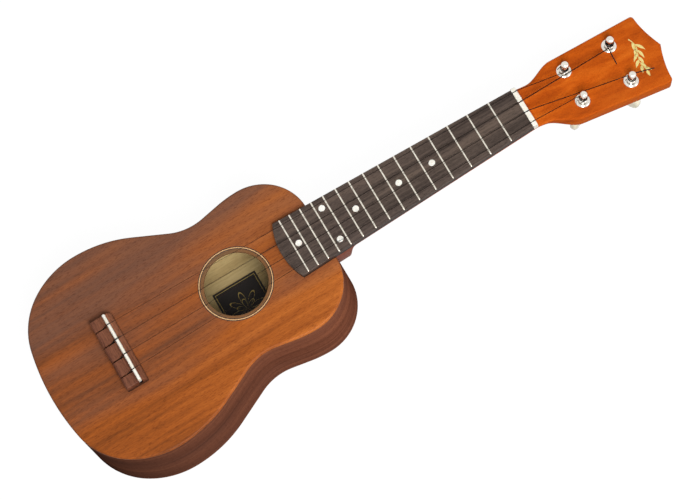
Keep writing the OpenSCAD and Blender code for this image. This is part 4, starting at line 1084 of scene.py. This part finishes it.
def makePosts():
    s = tunerShape
    low = s["flangeHeight"] + s["gap"]
    step = s["baseHeight"]
    domeLow = s["postHeight"] - s["tipDome"]
    dome = quarter(9)
    profile = np.concatenate([
        easeCorners([
            (0, shaftEnd), (s["shaft"], shaftEnd), (s["shaft"], low), (s["base"], low),
            (s["base"], low + step), (s["waist"], low + 2 * step), (s["waist"], domeLow - 1.2),
            (s["tip"], domeLow - 0.2), (s["tip"], domeLow)], [0, 0.2, 0.1, 0.2, 0.3, 0.6, 0.6, 0.2, 0], 4),
        np.stack([s["tip"] * np.cos(dome), domeLow + s["tipDome"] * np.sin(dome)], -1)[1:]])
    profile[-1, 0] = 0
    holeZ = domeLow - s["holeDrop"]
    hole = rod(s["hole"], -s["holeReach"], s["holeReach"], 20)
    core = screwShape["radius"] + screwShape["slack"]
    screwHole = rod(core, shaftEnd - 1, shaftEnd + screwShape["depth"], 24)
    for i, name in enumerate(strings):
        turn = buttonShape["turns"][i]
        across = placed(hole, lambda points: atPeg(i, points[:, [2, 1, 0]] + (0, 0, holeZ), turn))
        along = placed(screwHole, lambda points: atPeg(i, points))
        post = placed(lathe(profile), lambda points: atPeg(i, points))
        addPiece("post_" + name, [post], chrome, "peg_post_" + name, "peg_" + name, cuts=[across, along])


def makeButtons():
    # wing: an oval of power outline, its thickness a rounded slab of power edge, both faces dished;
    # a round stem is joined on top, and the shaft's bore goes through
    s = buttonShape
    power = lambda value, n: np.sign(value) * np.abs(value) ** (2 / n)
    u = np.linspace(0, 2 * np.pi, s["columns"], endpoint=False)[None]
    v = np.linspace(0, np.pi, s["rows"])[:, None]
    spread = np.abs(np.sin(v)) ** (2 / s["edge"])
    x = s["width"] / 2 * power(np.cos(u), s["outline"]) * spread
    z = s["height"] / 2 * power(np.sin(u), s["outline"]) * spread
    away = (x / s["width"] * s["dishSize"]) ** 2 + (z / s["height"] * s["dishSize"]) ** 2
    dish = 1 - s["dish"] * np.clip(1 - away, 0, 1)
    y = s["thickness"] / 2 * power(np.cos(v), s["edge"]) * dish
    points = np.stack([x, y, z + (wingTop + wingEnd) / 2], -1).reshape(-1, 3)
    wing = points, gridFaces(s["rows"], s["columns"])
    radius, root = s["stem"], wingTop - 3
    stem = lathe(easeCorners([
        (0, root), (radius - 0.6, root), (radius - 0.4, wingTop + 0.6), (radius, stemZ - 0.8),
        (radius, stemZ), (0, stemZ)], [0, 0.2, 1.2, 0.6, 0.3, 0], 4), 48)
    slack = screwShape["slack"]
    bore, thread, step = tunerShape["shaft"] + slack, screwShape["radius"] + slack, shaftEnd - slack
    through = lathe([(0, wingEnd - 2), (thread, wingEnd - 2), (thread, step), (bore, step),
                     (bore, stemZ + 2), (0, stemZ + 2)], 32)
    for i in range(4):
        addPegPiece(i, "button_", wing, creamButton, joins=stem, cuts=through)


def makeScrews():
    s = screwShape
    head, radius = s["head"], s["radius"]
    low, top = wingEnd - s["headHeight"], shaftEnd + s["depth"]
    profile = easeCorners([
        (0, low), (head - 0.5, low), (head, wingEnd - 0.3), (head, wingEnd), (radius, wingEnd),
        (radius, top), (0, top)], [0, 0.4, 0.3, 0.1, 0, 0.2, 0], 4)
    heights = (-s["headHeight"], s["slotDepth"])
    corners = np.array([(x, y, z) for x in (-1, 1) for y in (-0.5, 0.5) for z in heights])
    block = corners * (s["slotReach"], s["slot"], 1) + (0, 0, low)
    sides = np.array([(0, 1, 3, 2), (4, 6, 7, 5), (0, 4, 5, 1), (2, 3, 7, 6), (0, 2, 6, 4), (1, 5, 7, 3)])
    for i in range(4):
        addPegPiece(i, "screw_", lathe(profile, 40), chrome, cuts=(block, sides))


makeFerrules()
makePosts()
makeButtons()
makeScrews()
print("tuners made")


# Strings: knot, over the saddle's crest, through the nut and on to the posts, then wound up

windShape = {
    "height": 4.6, "seat": 0.05, "pitch": 1.06, "ways": [1, 1, -1, -1], "tailAngles": [200, 265, 168, 10],
    "tails": [5, 19, 19, 5], "turns": 1, "stepsPerTurn": 40, "sides": 10, "tailLift": 0.6}
windRadius = tunerShape["waist"] + windShape["seat"] + gauge / 2 / np.cos(np.pi / 6)


def windStart(i):  # angle round the post where the string, coming from the nut, first touches it
    leave = toHead(np.array([nutX[i], headY, nutStringZ[i]]))[:2] - pegPlaces[i]
    spread = np.arccos(windRadius[i] / np.linalg.norm(leave))
    return np.arctan2(leave[1], leave[0]) + windShape["ways"][i] * spread


def roundPost(i, angle, z):
    angle, z = np.broadcast_arrays(angle, z)
    x, y = pegPlaces[i]
    return np.stack([x + windRadius[i] * np.cos(angle), y + windRadius[i] * np.sin(angle), z], -1)


def makeStrings():
    s = stringShape
    crestZ = saddleHigh[2] - saddleHalf
    knotY = bridgeLow[1] + bridgeShape["pocketDepth"] / 2
    ball = np.linspace(-np.pi / 2, np.pi / 2, 13)
    for i, name in enumerate(strings):
        reach = saddleHalf + 0.01 + gauge[i] / 2
        lean = np.array([knotY - saddleY, knotZ[i] - crestZ])
        leave = np.arctan2(lean[1], lean[0]) % (2 * np.pi) - np.arccos(reach / np.linalg.norm(lean))
        angle = np.linspace(leave, np.pi / 2, 12)
        overY, overZ = saddleY + reach * np.cos(angle), crestZ + reach * np.sin(angle)
        over = np.stack([0 * angle + saddleX[i], overY, overZ], -1)
        nut = np.array([[nutX[i], nutY, nutStringZ[i]], [nutX[i], headY, nutStringZ[i]]])
        touch = roundPost(i, windStart(i), windShape["height"])
        far = fromHead(touch + unit(toHead(nut[1]) - touch) * gauge[i] * s["postGap"])
        free = mix(over[-1], nut[0], np.linspace(0, 1, 12)[1:-1, None])
        start = [saddleX[i], knotY, knotZ[i]]
        path = np.vstack([start, over, free, nut[0], mix(nut[0], nut[1], 0.9), nut[1], far])
        knot = s["knot"] / 2 * onCircle(ball)
        knot[[0, -1], 0] = 0
        shells = [tube(path, gauge[i] / 2, s["sides"], (1, 0, 0)),
                  placed(lathe(knot, 24), lambda points: points + (saddleX[i], knotY, knotZ[i]))]
        addPiece("string_run_" + name, shells, clearNylon, "string_" + name, sharp=60)


def makeWindings():
    # helix up the post: angle grows steadily, height by pitch a turn; then a free end that lifts a little
    s = windShape
    for i, name in enumerate(strings):
        way, start = s["ways"][i], windStart(i)
        rest = ((np.radians(s["tailAngles"][i]) - start) * way) % (2 * np.pi)
        turned = rest + 2 * np.pi * s["turns"]
        share = np.linspace(0, 1, int(turned / 2 / np.pi * s["stepsPerTurn"]))
        pitch = gauge[i] * s["pitch"]
        coil = roundPost(i, start + way * turned * share, s["height"] + pitch * turned / 2 / np.pi * share)
        heading = lambda angle: way * np.array([-np.sin(angle), np.cos(angle), 0])
        last = start + way * turned
        t = np.linspace(0, 1, 9)[1:, None]
        tail = coil[-1] + s["tails"][i] * t * heading(last) + (0, 0, s["tailLift"]) * t ** 2
        lead = coil[0] - gauge[i] * heading(start)
        path = np.vstack([lead, coil, tail])
        coilTube = placed(tube(path, gauge[i] / 2, s["sides"], (0, 0, 1)), fromHead)
        addPiece("wound_string_" + name, [coilTube], woundNylon, "winding_" + name, "peg_" + name, sharp=60)


makeStrings()
makeWindings()
print("strings made")


# Inner pieces keep their own solids and get bare wood

braces = ["bridge_plate", "top_brace_upper", "top_brace_lower", "back_brace_upper", "back_brace_lower"]
others = [
    "neck_block", "tail_block", "neck_dowel", "lining_top_bass", "lining_top_treble", "lining_back_bass",
    "lining_back_treble"]
for node in braces + others:
    mesh = frame["nodes"][node].data
    mesh.materials.clear()
    mesh.materials.append(bareBrace if node in braces else bareLining)


# Stage: pale floor, soft light and the camera at the photograph's view

stage = {
    "floorSize": 40, "floorTone": 0.88, "floorReturn": 0.08, "floorGlow": 0.92, "glowStrength": 1.05,
    "skyBase": 0.015, "skyTop": 0.55, "skyWay": (0.35, 0.6, 0.75),
    "key": {"from": (1.5, 0.0, 2.05), "size": 1.2, "power": 59.5},
    "side": {"from": (1.7, 1.9, 0.9), "size": 1.2, "power": 7}}
cameraView = {
    "distance": 3003, "tilt": 20.572, "nod": 0.219, "neckAngle": 31.052, "target": (12.56, -16.32, 30),
    "lens": 203.58, "sensor": 36, "farthest": 100}


def seenDirectly(tree):  # 1 for rays from the camera, in reflections and through clear things
    paths = addNode(tree, "LightPath", {}).outputs
    direct = addMath(tree, "MAXIMUM", paths["Is Camera Ray"], paths["Is Glossy Ray"])
    return addMath(tree, "MAXIMUM", direct, paths["Is Transmission Ray"])


def makeFloor():
    material, tree, shader = newMaterial("paleFloor")
    seen = seenDirectly(tree)
    tone = addRamp(tree, seen, [(0.0, stage["floorReturn"]), (1.0, stage["floorTone"])])
    tree.links.new(tone, shader.inputs["Base Color"])
    shader.inputs["Roughness"].default_value = 1.0
    shader.inputs["Specular IOR Level"].default_value = 0.0
    glow = addNode(tree, "Emission", {"Color": (1, 1, 1, 1), "Strength": stage["glowStrength"]}).outputs[0]
    share = addMath(tree, "MULTIPLY", seen, stage["floorGlow"])
    both = addNode(tree, "MixShader", {0: share, 1: shader.outputs[0], 2: glow}).outputs[0]
    tree.links.new(both, tree.nodes["Material Output"].inputs["Surface"])
    mesh = bpy.data.meshes.new("floor")
    corners = np.array([(-1, -1, 0), (1, -1, 0), (1, 1, 0), (-1, 1, 0)]) * stage["floorSize"] / 2
    mesh.from_pydata(corners, [], [(0, 1, 2, 3)])
    mesh.materials.append(material)
    floor = addObject("floor", mesh)


def makeWorld():
    world = bpy.data.worlds.new("studio")
    world.use_nodes = True
    bpy.context.scene.world = world
    tree = world.node_tree
    background = tree.nodes["Background"]
    background.inputs["Color"].default_value = (1, 1, 1, 1)
    # soft light that grows towards one direction of the sky; seen directly, the sky is white
    way = addNode(tree, "TexCoord", {}).outputs["Generated"]
    brightest = unit(np.array(stage["skyWay"]))
    glow = addMath(tree, "MAXIMUM", addVector(tree, "DOT_PRODUCT", way, brightest), 0.0)
    soft = addMath(tree, "ADD", addMath(tree, "MULTIPLY", glow, stage["skyTop"]), stage["skyBase"])
    strength = addMath(tree, "MAXIMUM", soft, seenDirectly(tree))
    tree.links.new(strength, background.inputs["Strength"])


def addAimed(name, data, place, back, right):  # light or camera whose own z axis points back
    made = addObject(name, data)
    turn = np.column_stack([right, np.cross(back, right), back, place])
    made.matrix_world = Matrix(np.vstack([turn, (0, 0, 0, 1)]).tolist())
    return made


def makeLight(name):
    look = stage[name]
    lamp = bpy.data.lights.new(name, "AREA")
    lamp.shape, lamp.size, lamp.energy = "DISK", look["size"], look["power"]
    place = np.array(look["from"])
    back = unit(place)
    addAimed(name, lamp, place, back, unit(np.cross((0, 1, 0.001), back)))


def makeCamera():
    # back points from the object to the camera; the neck leans neckAngle from the picture's right
    s = cameraView
    tilt, nod, lean = np.radians([s["tilt"], s["nod"], s["neckAngle"]])
    back = np.array([np.sin(tilt) * np.cos(nod), np.sin(nod), np.cos(tilt) * np.cos(nod)])
    neck = unit(np.array([0, 1, 0]) - back * back[1])
    right = np.cos(lean) * neck - np.sin(lean) * np.cross(back, neck)
    place = (np.array(s["target"]) + back * s["distance"]) * mm
    lens = bpy.data.cameras.new("photoView")
    lens.lens, lens.sensor_width, lens.clip_end = s["lens"], s["sensor"], s["farthest"]
    bpy.context.scene.camera = addAimed("photoView", lens, place, back, right)


makeFloor()
makeWorld()
for name in ("key", "side"):
    makeLight(name)
makeCamera()
bpy.context.scene.view_settings.view_transform = "Standard"
print("stage set")
